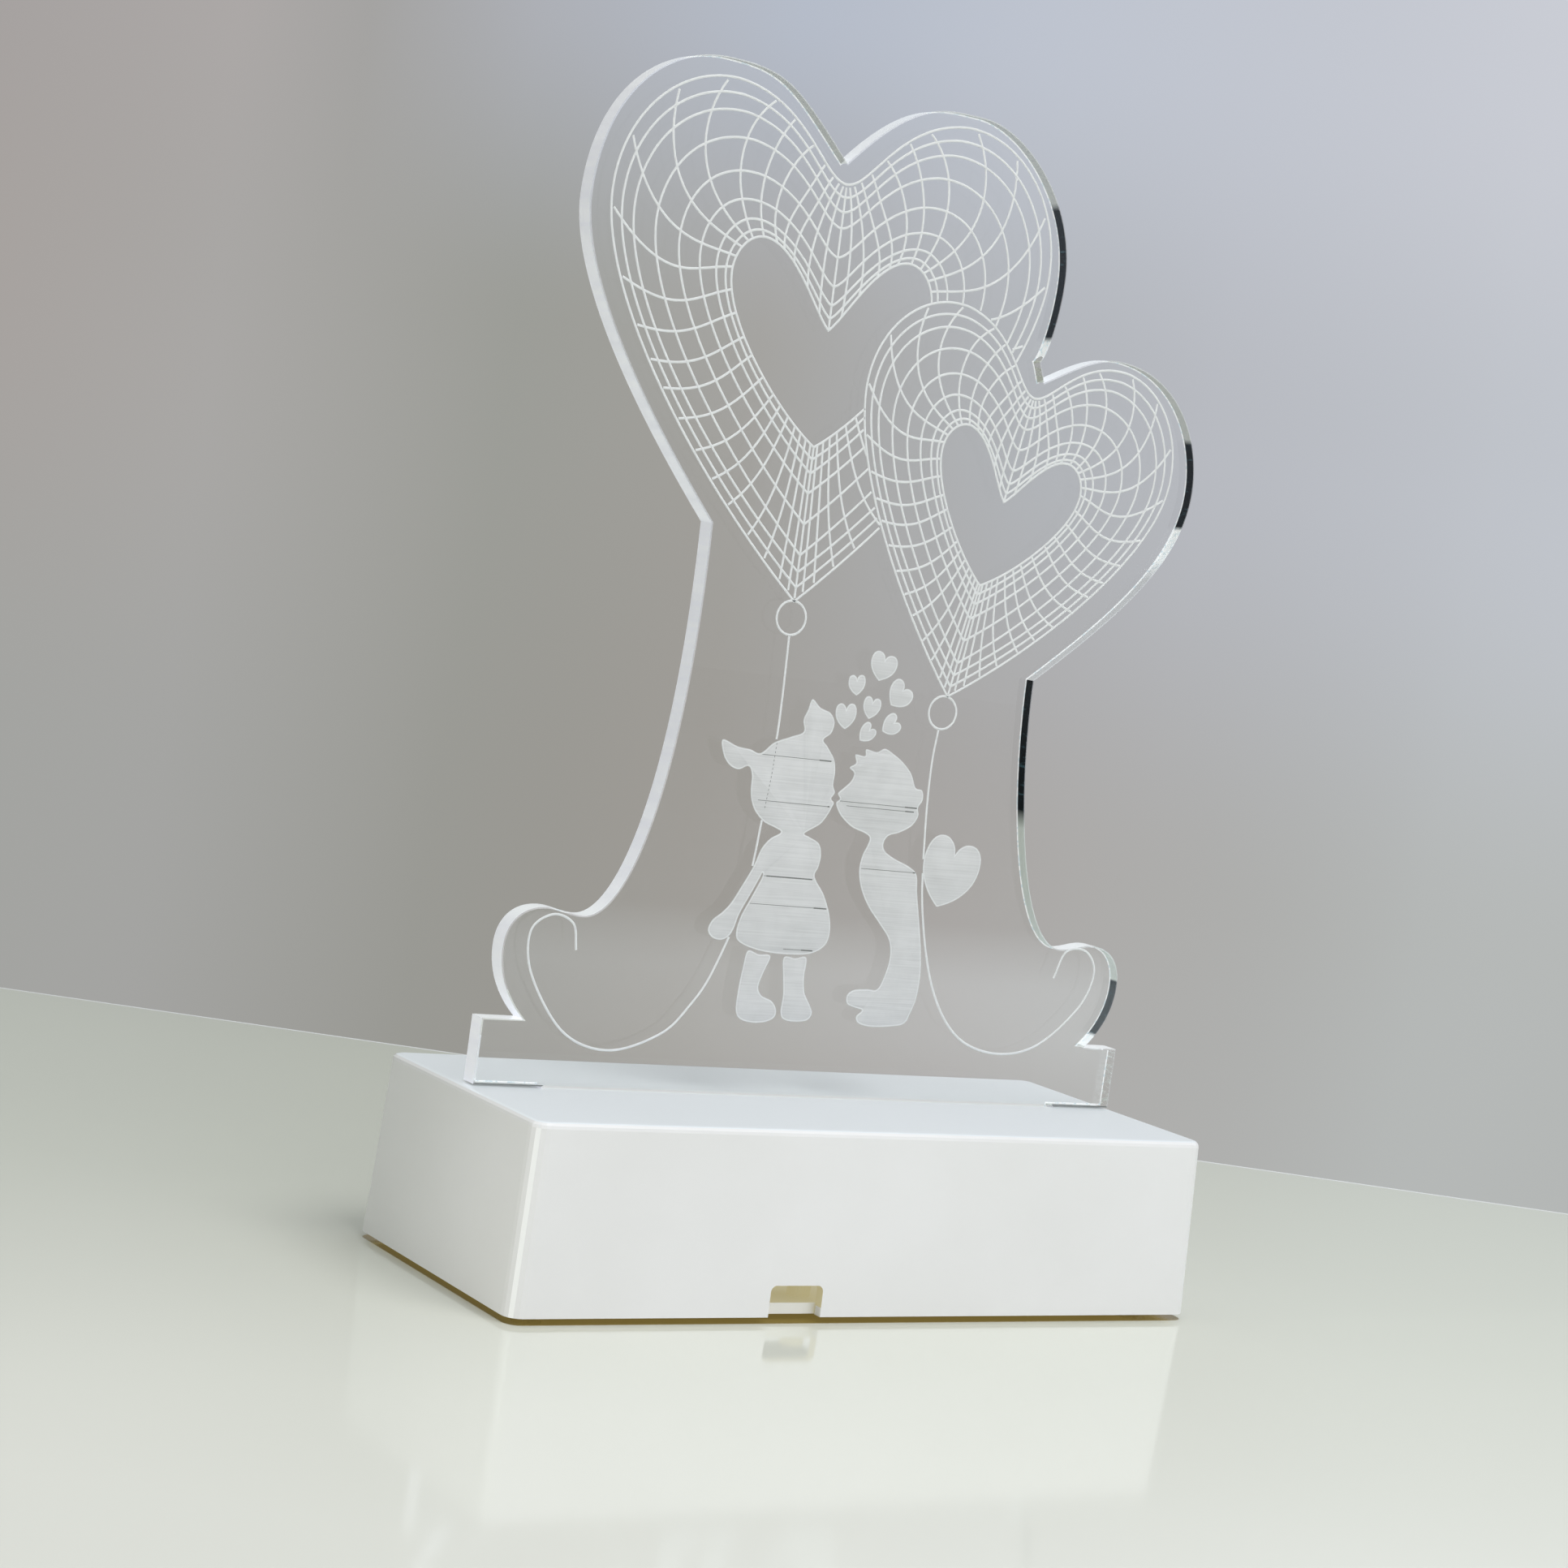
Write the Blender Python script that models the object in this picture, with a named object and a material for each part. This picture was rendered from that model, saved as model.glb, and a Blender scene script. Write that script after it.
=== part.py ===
"""Optical illusion lamp: a cut acrylic panel that stands in a slot of a white LED base.

Metres, +Z up. The front faces -Y, and the origin is on the table under the middle of the base.
"""
import math

import bmesh
import bpy
from mathutils import Vector

# Gap between pieces that touch, and how far a cut or a joined boss runs past a face
SEAT_GAP = 0.0003
OVERRUN = 0.001

# Base shell: length and depth at its lower edge, which stands above the table on the feet
BASE_LENGTH = 0.150
BASE_DEPTH = 0.0633
BASE_HEIGHT = 0.0341
BASE_DRAFT = 0.0010
CORNER_RADIUS = 0.0030
TOP_FILLET = 0.0011
SHELL_WALL = 0.0020
TABLE_GAP = 0.0012

# Cable notch in the lower edge of the rear wall
NOTCH_WIDTH = 0.0112
NOTCH_HEIGHT = 0.0058
NOTCH_RADIUS = 0.0012
NOTCH_OFFSET = 0.0168

# Acrylic panel: its place on the base, and the tab that drops into the slot. The margins are measured
# from the base's ends to the panel's foot and to the tab.
PANEL_THICKNESS = 0.0042
PANEL_END_MARGIN = 0.0028
PANEL_RISE = 0.1886
PANEL_OFFSET_X = -0.0009
PANEL_OFFSET_Y = -0.0020
TAB_END_MARGIN = 0.01675
TAB_DEPTH = 0.0090

# Slot in the base's top, and the collar under it that guides the tab
SLOT_SIDE_CLEARANCE = 0.0003
SLOT_END_CLEARANCE = 0.0005
COLLAR_WALL = 0.0014
COLLAR_DEPTH = 0.0045

# Bottom cover
COVER_THICKNESS = 0.0020
COVER_CLEARANCE = 0.0004

# Bosses that take the cover screws, in the shell's four corners
COVER_BOSS_RADIUS = 0.0034
COVER_BOSS_INSET = 0.0056
COVER_SCREW_LENGTH = 0.0080

# Screws: the larger ones hold the cover, the smaller ones the board and the cord clamp
LARGE_SHANK_RADIUS = 0.00125
LARGE_HEAD_RADIUS = 0.0025
LARGE_HEAD_HEIGHT = 0.0011
SMALL_SHANK_RADIUS = 0.0009
SMALL_HEAD_RADIUS = 0.0018
SMALL_HEAD_HEIGHT = 0.0010
PILOT_SPARE_DEPTH = 0.0010
CROSS_WIDTH_SHARE = 0.28
CROSS_LENGTH_SHARE = 1.30
CROSS_DEPTH_SHARE = 0.55

# Rubber feet under the cover
FOOT_RADIUS = 0.0045
FOOT_INSET = 0.0145
FOOT_EDGE = 0.0003

# LED board under the tab
BOARD_WIDTH = 0.0100
BOARD_THICKNESS = 0.0012
BOARD_END_MARGIN = 0.0038
BOARD_BOSS_RADIUS = 0.0026
BOARD_BOSS_GAP = 0.0008
BOARD_SCREW_LENGTH = 0.0060

# LEDs in a row on the board, and the resistors beside them
LED_COUNT = 12
LED_LENGTH = 0.0035
LED_WIDTH = 0.0028
LED_HEIGHT = 0.0014
LED_CUP_WALL = 0.0004
LED_CUP_DEPTH = 0.0003
LED_LIGHT_GAP = 0.0008
RESISTOR_COUNT = 4
RESISTOR_LENGTH = 0.0020
RESISTOR_WIDTH = 0.0012
RESISTOR_HEIGHT = 0.0005
RESISTOR_OFFSET_Y = 0.0033

# Two-pin header for the cord's leads, on the underside of the board and in line with the notch
HEADER_LENGTH = 0.0075
HEADER_WIDTH = 0.0058
HEADER_HEIGHT = 0.0070
HEADER_WALL = 0.0008
HEADER_FLOOR = 0.0016
PIN_SIDE = 0.0006
PIN_PITCH = 0.0025
PIN_REACH = 0.0038

# Clamp that holds the cord to the cover, just inside the notch
CLAMP_LENGTH = 0.0170
CLAMP_DEPTH = 0.0055
CLAMP_THICKNESS = 0.0020
CLAMP_SETBACK = 0.0040
CLAMP_GROOVE_RADIUS = 0.0016
CLAMP_POST_RADIUS = 0.0022
CLAMP_POST_HEIGHT = 0.0030
CLAMP_SCREW_PITCH = 0.0120
CLAMP_SCREW_LENGTH = 0.0046

# How finely round shapes are cut into flats
CORNER_STEPS = 5
FILLET_STEPS = 3
CURVE_STEPS = 12
ROUND_SIDES = 20
SMALL_SIDES = 12

# The panel's outline is a chain of cubic curves. Each row is two handles and an end point, as shares:
# across, of half the panel's length from its middle, and up, of its rise above the foot.
FOOT_STEP_SHARE = 0.064
NOTCH_TIP_SHARE = (0.885, 0.064)
SCROLL_SHARES = (
    ((0.930, 0.080), (0.970, 0.103), (0.970, 0.132)),
    ((0.970, 0.158), (0.928, 0.174), (0.860, 0.174)),
    ((0.825, 0.174), (0.795, 0.168), (0.755, 0.168)),
)
LARGE_NECK_SHARES = (((0.635, 0.168), (0.519, 0.300), (0.543, 0.560)),)
SMALL_NECK_SHARES = (((-0.620, 0.168), (-0.535, 0.315), (-0.530, 0.447)),)
LARGE_HEART_SHARES = (
    ((0.750, 0.645), (1.009, 0.765), (1.009, 0.847)),
    ((1.009, 0.945), (0.850, 1.000), (0.665, 1.000)),
    ((0.500, 1.000), (0.470, 0.990), (0.291, 0.926)),
    ((0.110, 1.003), (0.020, 1.000), (-0.105, 1.000)),
    ((-0.250, 1.000), (-0.442, 0.938), (-0.442, 0.855)),
    ((-0.442, 0.817), (-0.416, 0.777), (-0.399, 0.772)),
)
SMALL_HEART_SHARES = (
    ((-0.406, 0.766), (-0.414, 0.759), (-0.421, 0.752)),
    ((-0.500, 0.768), (-0.580, 0.788), (-0.660, 0.788)),
    ((-0.870, 0.788), (-0.977, 0.725), (-0.977, 0.667)),
    ((-0.977, 0.590), (-0.775, 0.522), (-0.530, 0.447)),
)

# Levels that several pieces share
SHELL_BOTTOM = TABLE_GAP
SHELL_TOP = SHELL_BOTTOM + BASE_HEIGHT
CEILING = SHELL_TOP - SHELL_WALL
COVER_TOP = SHELL_BOTTOM + COVER_THICKNESS
SHOULDER = SHELL_TOP + SEAT_GAP
TAB_BOTTOM = SHOULDER - TAB_DEPTH
BOARD_TOP = TAB_BOTTOM - LED_LIGHT_GAP - LED_HEIGHT - SEAT_GAP
BOARD_BOTTOM = BOARD_TOP - BOARD_THICKNESS

# Lengths that follow from the base's
PANEL_LENGTH = BASE_LENGTH - 2 * PANEL_END_MARGIN
TAB_LENGTH = BASE_LENGTH - 2 * TAB_END_MARGIN

# Half sizes of the cavity at the shell's lower edge, and places that follow from them
INNER_X = BASE_LENGTH / 2 - SHELL_WALL
INNER_Y = BASE_DEPTH / 2 - SHELL_WALL
INNER_RADIUS = CORNER_RADIUS - SHELL_WALL
COVER_BOSS_X = INNER_X - COVER_BOSS_INSET
COVER_BOSS_Y = INNER_Y - COVER_BOSS_INSET
SLOT_HALF_LENGTH = TAB_LENGTH / 2 + SLOT_END_CLEARANCE
SLOT_HALF_WIDTH = PANEL_THICKNESS / 2 + SLOT_SIDE_CLEARANCE
BOARD_SCREW_X = SLOT_HALF_LENGTH + COLLAR_WALL + BOARD_BOSS_GAP + BOARD_BOSS_RADIUS
CLAMP_Y = INNER_Y - CLAMP_SETBACK - CLAMP_DEPTH / 2
CLAMP_BOTTOM = COVER_TOP + CLAMP_POST_HEIGHT + SEAT_GAP
LARGE_SCREW = (LARGE_SHANK_RADIUS, LARGE_HEAD_RADIUS, LARGE_HEAD_HEIGHT)
SMALL_SCREW = (SMALL_SHANK_RADIUS, SMALL_HEAD_RADIUS, SMALL_HEAD_HEIGHT)


def clear_scene():
    """Remove every object that the file opened with."""
    for obj in list(bpy.data.objects):
        bpy.data.objects.remove(obj, do_unlink=True)


def material(name, colour, roughness, metallic=0.0, transmission=0.0):
    """A Principled material with one colour."""
    made = bpy.data.materials.new(name)
    made.use_nodes = True
    shader = made.node_tree.nodes["Principled BSDF"]
    shader.inputs["Base Color"].default_value = (*colour, 1.0)
    shader.inputs["Roughness"].default_value = roughness
    shader.inputs["Metallic"].default_value = metallic
    shader.inputs["Transmission Weight"].default_value = transmission
    return made


def add_object(name, mesh_data, surface=None, location=(0, 0, 0)):
    """Turn a bmesh into an object with outward faces, at its place."""
    bmesh.ops.recalc_face_normals(mesh_data, faces=mesh_data.faces)
    mesh = bpy.data.meshes.new(name)
    mesh_data.to_mesh(mesh)
    mesh_data.free()
    mesh.shade_smooth()
    mesh.set_sharp_from_angle(angle=math.radians(35))
    obj = bpy.data.objects.new(name, mesh)
    obj.location = location
    if surface:
        mesh.materials.append(surface)
    bpy.context.collection.objects.link(obj)
    return obj


def boolean(obj, tool, operation):
    """Join or cut an object with a hidden tool that stays live as a modifier."""
    tool.hide_render = True
    tool.display_type = "WIRE"
    modifier = obj.modifiers.new(tool.name, "BOOLEAN")
    modifier.operation = operation
    modifier.solver = "EXACT"
    modifier.use_self = operation == "UNION"
    modifier.object = tool


def skin(mesh_data, lower, upper):
    """Join two equal loops of vertices with a band of faces."""
    count = len(lower)
    for index in range(count):
        after = (index + 1) % count
        mesh_data.faces.new((lower[index], lower[after], upper[after], upper[index]))


def add_rings(mesh_data, rings):
    """Skin a stack of equal rings of points, with a flat face on each end."""
    loops = [[mesh_data.verts.new(point) for point in ring] for ring in rings]
    for lower, upper in zip(loops, loops[1:]):
        skin(mesh_data, lower, upper)
    mesh_data.faces.new(loops[0])
    mesh_data.faces.new(loops[-1])


def circle(x, y, z, radius, sides):
    """A level ring of points."""
    turns = [2 * math.pi * index / sides for index in range(sides)]
    return [(x + radius * math.cos(turn), y + radius * math.sin(turn), z) for turn in turns]


def rounded_rectangle(half_x, half_y, radius, z):
    """A level ring of points round a rectangle with arcs for corners."""
    points = []
    for corner in range(4):
        start = corner * math.pi / 2
        side_x = 1 if corner in (0, 3) else -1
        side_y = 1 if corner in (0, 1) else -1
        for step in range(CORNER_STEPS + 1):
            turn = start + math.pi / 2 * step / CORNER_STEPS
            x = side_x * (half_x - radius) + radius * math.cos(turn)
            y = side_y * (half_y - radius) + radius * math.sin(turn)
            points.append((x, y, z))
    return points


def add_cylinder(mesh_data, x, y, bottom, top, radius, sides=ROUND_SIDES):
    """An upright cylinder."""
    add_rings(mesh_data, [circle(x, y, bottom, radius, sides), circle(x, y, top, radius, sides)])


def add_box(mesh_data, low, high):
    """A box between two corners."""
    rings = []
    for z in (low[2], high[2]):
        rings.append([(low[0], low[1], z), (high[0], low[1], z),
                      (high[0], high[1], z), (low[0], high[1], z)])
    add_rings(mesh_data, rings)


def add_centred_box(mesh_data, x, y, bottom, top, half_x, half_y):
    """A box given by the middle of its footprint."""
    add_box(mesh_data, (x - half_x, y - half_y, bottom), (x + half_x, y + half_y, top))


def cubic_chain(start, rows):
    """Points along joined cubic curves, without the start point."""
    points = []
    begin = Vector(start)
    for first, second, end in rows:
        first, second, end = Vector(first), Vector(second), Vector(end)
        for step in range(1, CURVE_STEPS + 1):
            t = step / CURVE_STEPS
            s = 1 - t
            points.append(s**3 * begin + 3 * s * s * t * first + 3 * s * t * t * second + t**3 * end)
        begin = end
    return points


def mirrored(shares):
    """The same rows on the panel's other side."""
    return tuple(tuple((-across, up) for across, up in row) for row in shares)


def side_lift(scroll, neck):
    """One side of the panel's edge in shares, from the foot's outer corner up to the waist."""
    sign = 1 if scroll[0][0][0] > 0 else -1
    tip = (sign * NOTCH_TIP_SHARE[0], NOTCH_TIP_SHARE[1])
    points = [Vector((sign, 0)), Vector((sign, FOOT_STEP_SHARE)), Vector(tip)]
    return points + cubic_chain(tip, scroll + neck)


def panel_outline():
    """The panel's edge in its own X and Z, counter-clockwise seen from the front."""
    right = side_lift(SCROLL_SHARES, LARGE_NECK_SHARES)
    left = side_lift(mirrored(SCROLL_SHARES), SMALL_NECK_SHARES)
    top = cubic_chain(right[-1], LARGE_HEART_SHARES + SMALL_HEART_SHARES)
    shares = right + top + left[-2::-1]
    edge = [(PANEL_LENGTH / 2 * share.x, PANEL_RISE * share.y) for share in shares]
    half = TAB_LENGTH / 2
    return edge + [(-half, 0), (-half, -TAB_DEPTH), (half, -TAB_DEPTH), (half, 0)]


def make_panel(surface):
    """The acrylic sheet, with its origin on the slide axis at the level of its shoulders."""
    mesh_data = bmesh.new()
    half = PANEL_THICKNESS / 2
    outline = panel_outline()
    add_rings(mesh_data, [[(x, side, z) for x, z in outline] for side in (-half, half)])
    return add_object("acrylic_panel", mesh_data, surface, (PANEL_OFFSET_X, PANEL_OFFSET_Y, SHOULDER))


def shell_rings():
    """Rings up the outside of the base, over its rounded top edge, then down into the cavity."""
    def ring(inset, radius, height):
        lean = BASE_DRAFT * height / BASE_HEIGHT
        half_x = BASE_LENGTH / 2 - lean - inset
        half_y = BASE_DEPTH / 2 - lean - inset
        return rounded_rectangle(half_x, half_y, radius, SHELL_BOTTOM + height)

    outer = [ring(0, CORNER_RADIUS, 0)]
    for step in range(FILLET_STEPS + 1):
        turn = math.pi / 2 * step / FILLET_STEPS
        inset = TOP_FILLET * (1 - math.cos(turn))
        height = BASE_HEIGHT - TOP_FILLET * (1 - math.sin(turn))
        outer.append(ring(inset, CORNER_RADIUS - inset, height))
    inner = [ring(SHELL_WALL, INNER_RADIUS, height) for height in (BASE_HEIGHT - SHELL_WALL, 0)]
    return outer, inner


def add_shell_body(mesh_data):
    """The drafted box with its open cavity, as one closed skin."""
    outer, inner = shell_rings()
    rings = outer + inner
    loops = [[mesh_data.verts.new(point) for point in ring] for ring in rings]
    roof, ceiling = len(outer) - 1, len(outer)
    pairs = [(loops[i], loops[i + 1]) for i in range(len(loops) - 1) if i != roof]
    pairs.append((loops[-1], loops[0]))
    for lower, upper in pairs:
        skin(mesh_data, lower, upper)
    mesh_data.faces.new(loops[roof])
    mesh_data.faces.new(loops[ceiling])


def corner_places():
    """The cover screws' places, one in each corner."""
    return [(x, y) for x in (-COVER_BOSS_X, COVER_BOSS_X) for y in (-COVER_BOSS_Y, COVER_BOSS_Y)]


def board_places():
    """The board screws' places, one beyond each end of the slot."""
    return [(PANEL_OFFSET_X + side * BOARD_SCREW_X, PANEL_OFFSET_Y) for side in (-1, 1)]


def shell_additions():
    """Bosses and the slot's collar, which hang from the ceiling."""
    mesh_data = bmesh.new()
    root = CEILING + SHELL_WALL / 2
    for x, y in corner_places():
        add_cylinder(mesh_data, x, y, COVER_TOP + SEAT_GAP, root, COVER_BOSS_RADIUS)
    for x, y in board_places():
        add_cylinder(mesh_data, x, y, BOARD_TOP + SEAT_GAP, root, BOARD_BOSS_RADIUS)
    half_x = SLOT_HALF_LENGTH + COLLAR_WALL
    half_y = SLOT_HALF_WIDTH + COLLAR_WALL
    add_centred_box(mesh_data, PANEL_OFFSET_X, PANEL_OFFSET_Y, CEILING - COLLAR_DEPTH, root,
                    half_x, half_y)
    return add_object("shell_additions_tool", mesh_data)


def notch_outline():
    """The cable notch seen from behind, in X and Z, with arcs in its upper corners."""
    half = NOTCH_WIDTH / 2
    top = SHELL_BOTTOM + NOTCH_HEIGHT
    low = SHELL_BOTTOM - OVERRUN
    points = [(NOTCH_OFFSET - half, low), (NOTCH_OFFSET + half, low)]
    for side in (1, -1):
        for step in range(CORNER_STEPS + 1):
            turn = math.pi / 2 * step / CORNER_STEPS
            turn = turn if side > 0 else math.pi / 2 + turn
            x = NOTCH_OFFSET + side * (half - NOTCH_RADIUS) + NOTCH_RADIUS * math.cos(turn)
            points.append((x, top - NOTCH_RADIUS + NOTCH_RADIUS * math.sin(turn)))
    return points


def shell_cuts():
    """The slot, the cable notch and the screws' pilot holes."""
    mesh_data = bmesh.new()
    slot_bottom = CEILING - COLLAR_DEPTH - OVERRUN
    add_centred_box(mesh_data, PANEL_OFFSET_X, PANEL_OFFSET_Y, slot_bottom, SHELL_TOP + OVERRUN,
                    SLOT_HALF_LENGTH, SLOT_HALF_WIDTH)
    inside = INNER_Y - BASE_DRAFT - OVERRUN
    outside = BASE_DEPTH / 2 + OVERRUN
    add_rings(mesh_data, [[(x, y, z) for x, z in notch_outline()] for y in (inside, outside)])
    shank = LARGE_SHANK_RADIUS + SEAT_GAP
    depth = SHELL_BOTTOM + COVER_SCREW_LENGTH + PILOT_SPARE_DEPTH
    for x, y in corner_places():
        add_cylinder(mesh_data, x, y, COVER_TOP - OVERRUN, depth, shank, SMALL_SIDES)
    shank = SMALL_SHANK_RADIUS + SEAT_GAP
    depth = BOARD_BOTTOM + BOARD_SCREW_LENGTH + PILOT_SPARE_DEPTH
    for x, y in board_places():
        add_cylinder(mesh_data, x, y, BOARD_TOP - OVERRUN, depth, shank, SMALL_SIDES)
    return add_object("shell_cuts_tool", mesh_data)


def make_shell(surface):
    """The white housing: walls, slot, notch and bosses."""
    mesh_data = bmesh.new()
    add_shell_body(mesh_data)
    shell = add_object("base_shell", mesh_data, surface)
    boolean(shell, shell_additions(), "UNION")
    boolean(shell, shell_cuts(), "DIFFERENCE")
    return shell


def clamp_places():
    """The clamp screws' places on the cover."""
    return [(NOTCH_OFFSET + side * CLAMP_SCREW_PITCH / 2, CLAMP_Y) for side in (-1, 1)]


def foot_places():
    """The feet's places, with the names that tell them apart."""
    x = BASE_LENGTH / 2 - FOOT_INSET
    y = BASE_DEPTH / 2 - FOOT_INSET
    return {
        "rubber_foot_front_left": (-x, -y),
        "rubber_foot_front_right": (x, -y),
        "rubber_foot_rear_left": (-x, y),
        "rubber_foot_rear_right": (x, y),
    }


def make_cover(surface):
    """The plate that closes the base from below, flush with the shell's lower edge."""
    mesh_data = bmesh.new()
    lean = BASE_DRAFT * COVER_THICKNESS / BASE_HEIGHT
    half_x = INNER_X - lean - COVER_CLEARANCE
    half_y = INNER_Y - lean - COVER_CLEARANCE
    levels = (SHELL_BOTTOM, COVER_TOP)
    add_rings(mesh_data, [rounded_rectangle(half_x, half_y, INNER_RADIUS, z) for z in levels])
    cover = add_object("bottom_cover", mesh_data, surface)

    posts = bmesh.new()
    for x, y in clamp_places():
        add_cylinder(posts, x, y, COVER_TOP - COVER_THICKNESS / 2, COVER_TOP + CLAMP_POST_HEIGHT,
                     CLAMP_POST_RADIUS)
    boolean(cover, add_object("cover_posts_tool", posts), "UNION")

    holes = bmesh.new()
    sink = SHELL_BOTTOM + LARGE_HEAD_HEIGHT + SEAT_GAP
    for x, y in corner_places():
        add_rings(holes, [
            circle(x, y, SHELL_BOTTOM - OVERRUN, LARGE_HEAD_RADIUS + SEAT_GAP, ROUND_SIDES),
            circle(x, y, sink, LARGE_HEAD_RADIUS + SEAT_GAP, ROUND_SIDES),
            circle(x, y, sink, LARGE_SHANK_RADIUS + SEAT_GAP, ROUND_SIDES),
            circle(x, y, COVER_TOP + OVERRUN, LARGE_SHANK_RADIUS + SEAT_GAP, ROUND_SIDES),
        ])
    bottom = CLAMP_BOTTOM + CLAMP_THICKNESS - CLAMP_SCREW_LENGTH - SEAT_GAP
    for x, y in clamp_places():
        add_cylinder(holes, x, y, bottom, COVER_TOP + CLAMP_POST_HEIGHT + OVERRUN,
                     SMALL_SHANK_RADIUS + SEAT_GAP, SMALL_SIDES)
    boolean(cover, add_object("cover_holes_tool", holes), "DIFFERENCE")
    return cover


def make_feet(surface):
    """Four rubber discs between the cover and the table, with a small bevel round the tread."""
    top = SHELL_BOTTOM - SEAT_GAP
    for name, (x, y) in foot_places().items():
        mesh_data = bmesh.new()
        add_rings(mesh_data, [
            circle(0, 0, 0, FOOT_RADIUS - FOOT_EDGE, ROUND_SIDES),
            circle(0, 0, FOOT_EDGE, FOOT_RADIUS, ROUND_SIDES),
            circle(0, 0, top, FOOT_RADIUS, ROUND_SIDES),
        ])
        add_object(name, mesh_data, surface, (x, y, 0))


def cross_outline(head_radius):
    """The twelve corners of a screw's cross recess, counter-clockwise."""
    long_half = head_radius * CROSS_LENGTH_SHARE / 2
    short_half = head_radius * CROSS_WIDTH_SHARE / 2
    arm = [(long_half, -short_half), (long_half, short_half), (short_half, short_half)]
    points = []
    for quarter in range(4):
        turn = quarter * math.pi / 2
        cos, sin = round(math.cos(turn)), round(math.sin(turn))
        points += [(x * cos - y * sin, x * sin + y * cos) for x, y in arm]
    return points


def make_screws(name, surface, places, size, face, length, tip_up):
    """Like screws with a cross recess. face is the level of the head's outer side."""
    shank_radius, head_radius, head_height = size
    up = 1 if tip_up else -1
    for index, (x, y) in enumerate(places):
        screw = bmesh.new()
        add_rings(screw, [
            circle(x, y, face, head_radius, SMALL_SIDES),
            circle(x, y, face + up * head_height, head_radius, SMALL_SIDES),
            circle(x, y, face + up * head_height, shank_radius, SMALL_SIDES),
            circle(x, y, face + up * length, shank_radius, SMALL_SIDES),
        ])
        cross = bmesh.new()
        levels = (face - up * OVERRUN, face + up * head_height * CROSS_DEPTH_SHARE)
        add_rings(cross, [[(x + a, y + b, z) for a, b in cross_outline(head_radius)] for z in levels])
        obj = add_object(f"{name}_{index + 1}", screw, surface)
        boolean(obj, add_object(f"{name}_{index + 1}_tool", cross), "DIFFERENCE")


def make_board(surface):
    """The LED board, which hangs from two bosses under the slot."""
    mesh_data = bmesh.new()
    half_x, half_y = BOARD_SCREW_X + BOARD_END_MARGIN, BOARD_WIDTH / 2
    add_centred_box(mesh_data, PANEL_OFFSET_X, PANEL_OFFSET_Y, BOARD_BOTTOM, BOARD_TOP, half_x, half_y)
    board = add_object("led_board", mesh_data, surface)
    holes = bmesh.new()
    for x, y in board_places():
        add_cylinder(holes, x, y, BOARD_BOTTOM - OVERRUN, BOARD_TOP + OVERRUN,
                     SMALL_SHANK_RADIUS + SEAT_GAP, SMALL_SIDES)
    boolean(board, add_object("board_holes_tool", holes), "DIFFERENCE")
    return board


def make_leds(surface):
    """A row of LEDs under the tab, each a box with a shallow cup in its top."""
    pitch = TAB_LENGTH / LED_COUNT
    half_x, half_y = LED_LENGTH / 2, LED_WIDTH / 2
    for index in range(LED_COUNT):
        x = PANEL_OFFSET_X + (index - (LED_COUNT - 1) / 2) * pitch
        mesh_data = bmesh.new()
        cup_x, cup_y = half_x - LED_CUP_WALL, half_y - LED_CUP_WALL
        levels = ((half_x, half_y, 0), (half_x, half_y, LED_HEIGHT),
                  (cup_x, cup_y, LED_HEIGHT), (cup_x, cup_y, LED_HEIGHT - LED_CUP_DEPTH))
        add_rings(mesh_data, [[(-a, -b, z), (a, -b, z), (a, b, z), (-a, b, z)] for a, b, z in levels])
        add_object(f"led_{index + 1:02d}", mesh_data, surface, (x, PANEL_OFFSET_Y, BOARD_TOP + SEAT_GAP))


def make_resistors(surface):
    """Chip resistors along the board's front edge, one beside the middle LED of each group."""
    pitch = TAB_LENGTH / RESISTOR_COUNT
    for index in range(RESISTOR_COUNT):
        x = PANEL_OFFSET_X + (index - (RESISTOR_COUNT - 1) / 2) * pitch
        y = PANEL_OFFSET_Y - RESISTOR_OFFSET_Y
        mesh_data = bmesh.new()
        add_centred_box(mesh_data, 0, 0, 0, RESISTOR_HEIGHT, RESISTOR_LENGTH / 2, RESISTOR_WIDTH / 2)
        add_object(f"resistor_{index + 1}", mesh_data, surface, (x, y, BOARD_TOP + SEAT_GAP))


def make_header(body_surface, pin_surface):
    """The socket for the cord's two leads: an open box that points down, and its pins."""
    top = BOARD_BOTTOM - SEAT_GAP
    bottom = top - HEADER_HEIGHT
    floor = top - HEADER_FLOOR
    x, y = NOTCH_OFFSET, PANEL_OFFSET_Y
    half_x, half_y = HEADER_LENGTH / 2, HEADER_WIDTH / 2
    mesh_data = bmesh.new()
    levels = ((half_x, half_y, top), (half_x, half_y, bottom),
              (half_x - HEADER_WALL, half_y - HEADER_WALL, bottom),
              (half_x - HEADER_WALL, half_y - HEADER_WALL, floor))
    add_rings(mesh_data, [[(x - a, y - b, z), (x + a, y - b, z), (x + a, y + b, z), (x - a, y + b, z)]
                          for a, b, z in levels])
    add_object("power_header", mesh_data, body_surface)
    pin_top = floor - SEAT_GAP
    half = PIN_SIDE / 2
    for index, side in enumerate((-1, 1)):
        pin = bmesh.new()
        add_centred_box(pin, x + side * PIN_PITCH / 2, y, pin_top - PIN_REACH, pin_top, half, half)
        add_object(f"header_pin_{index + 1}", pin, pin_surface)


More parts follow.
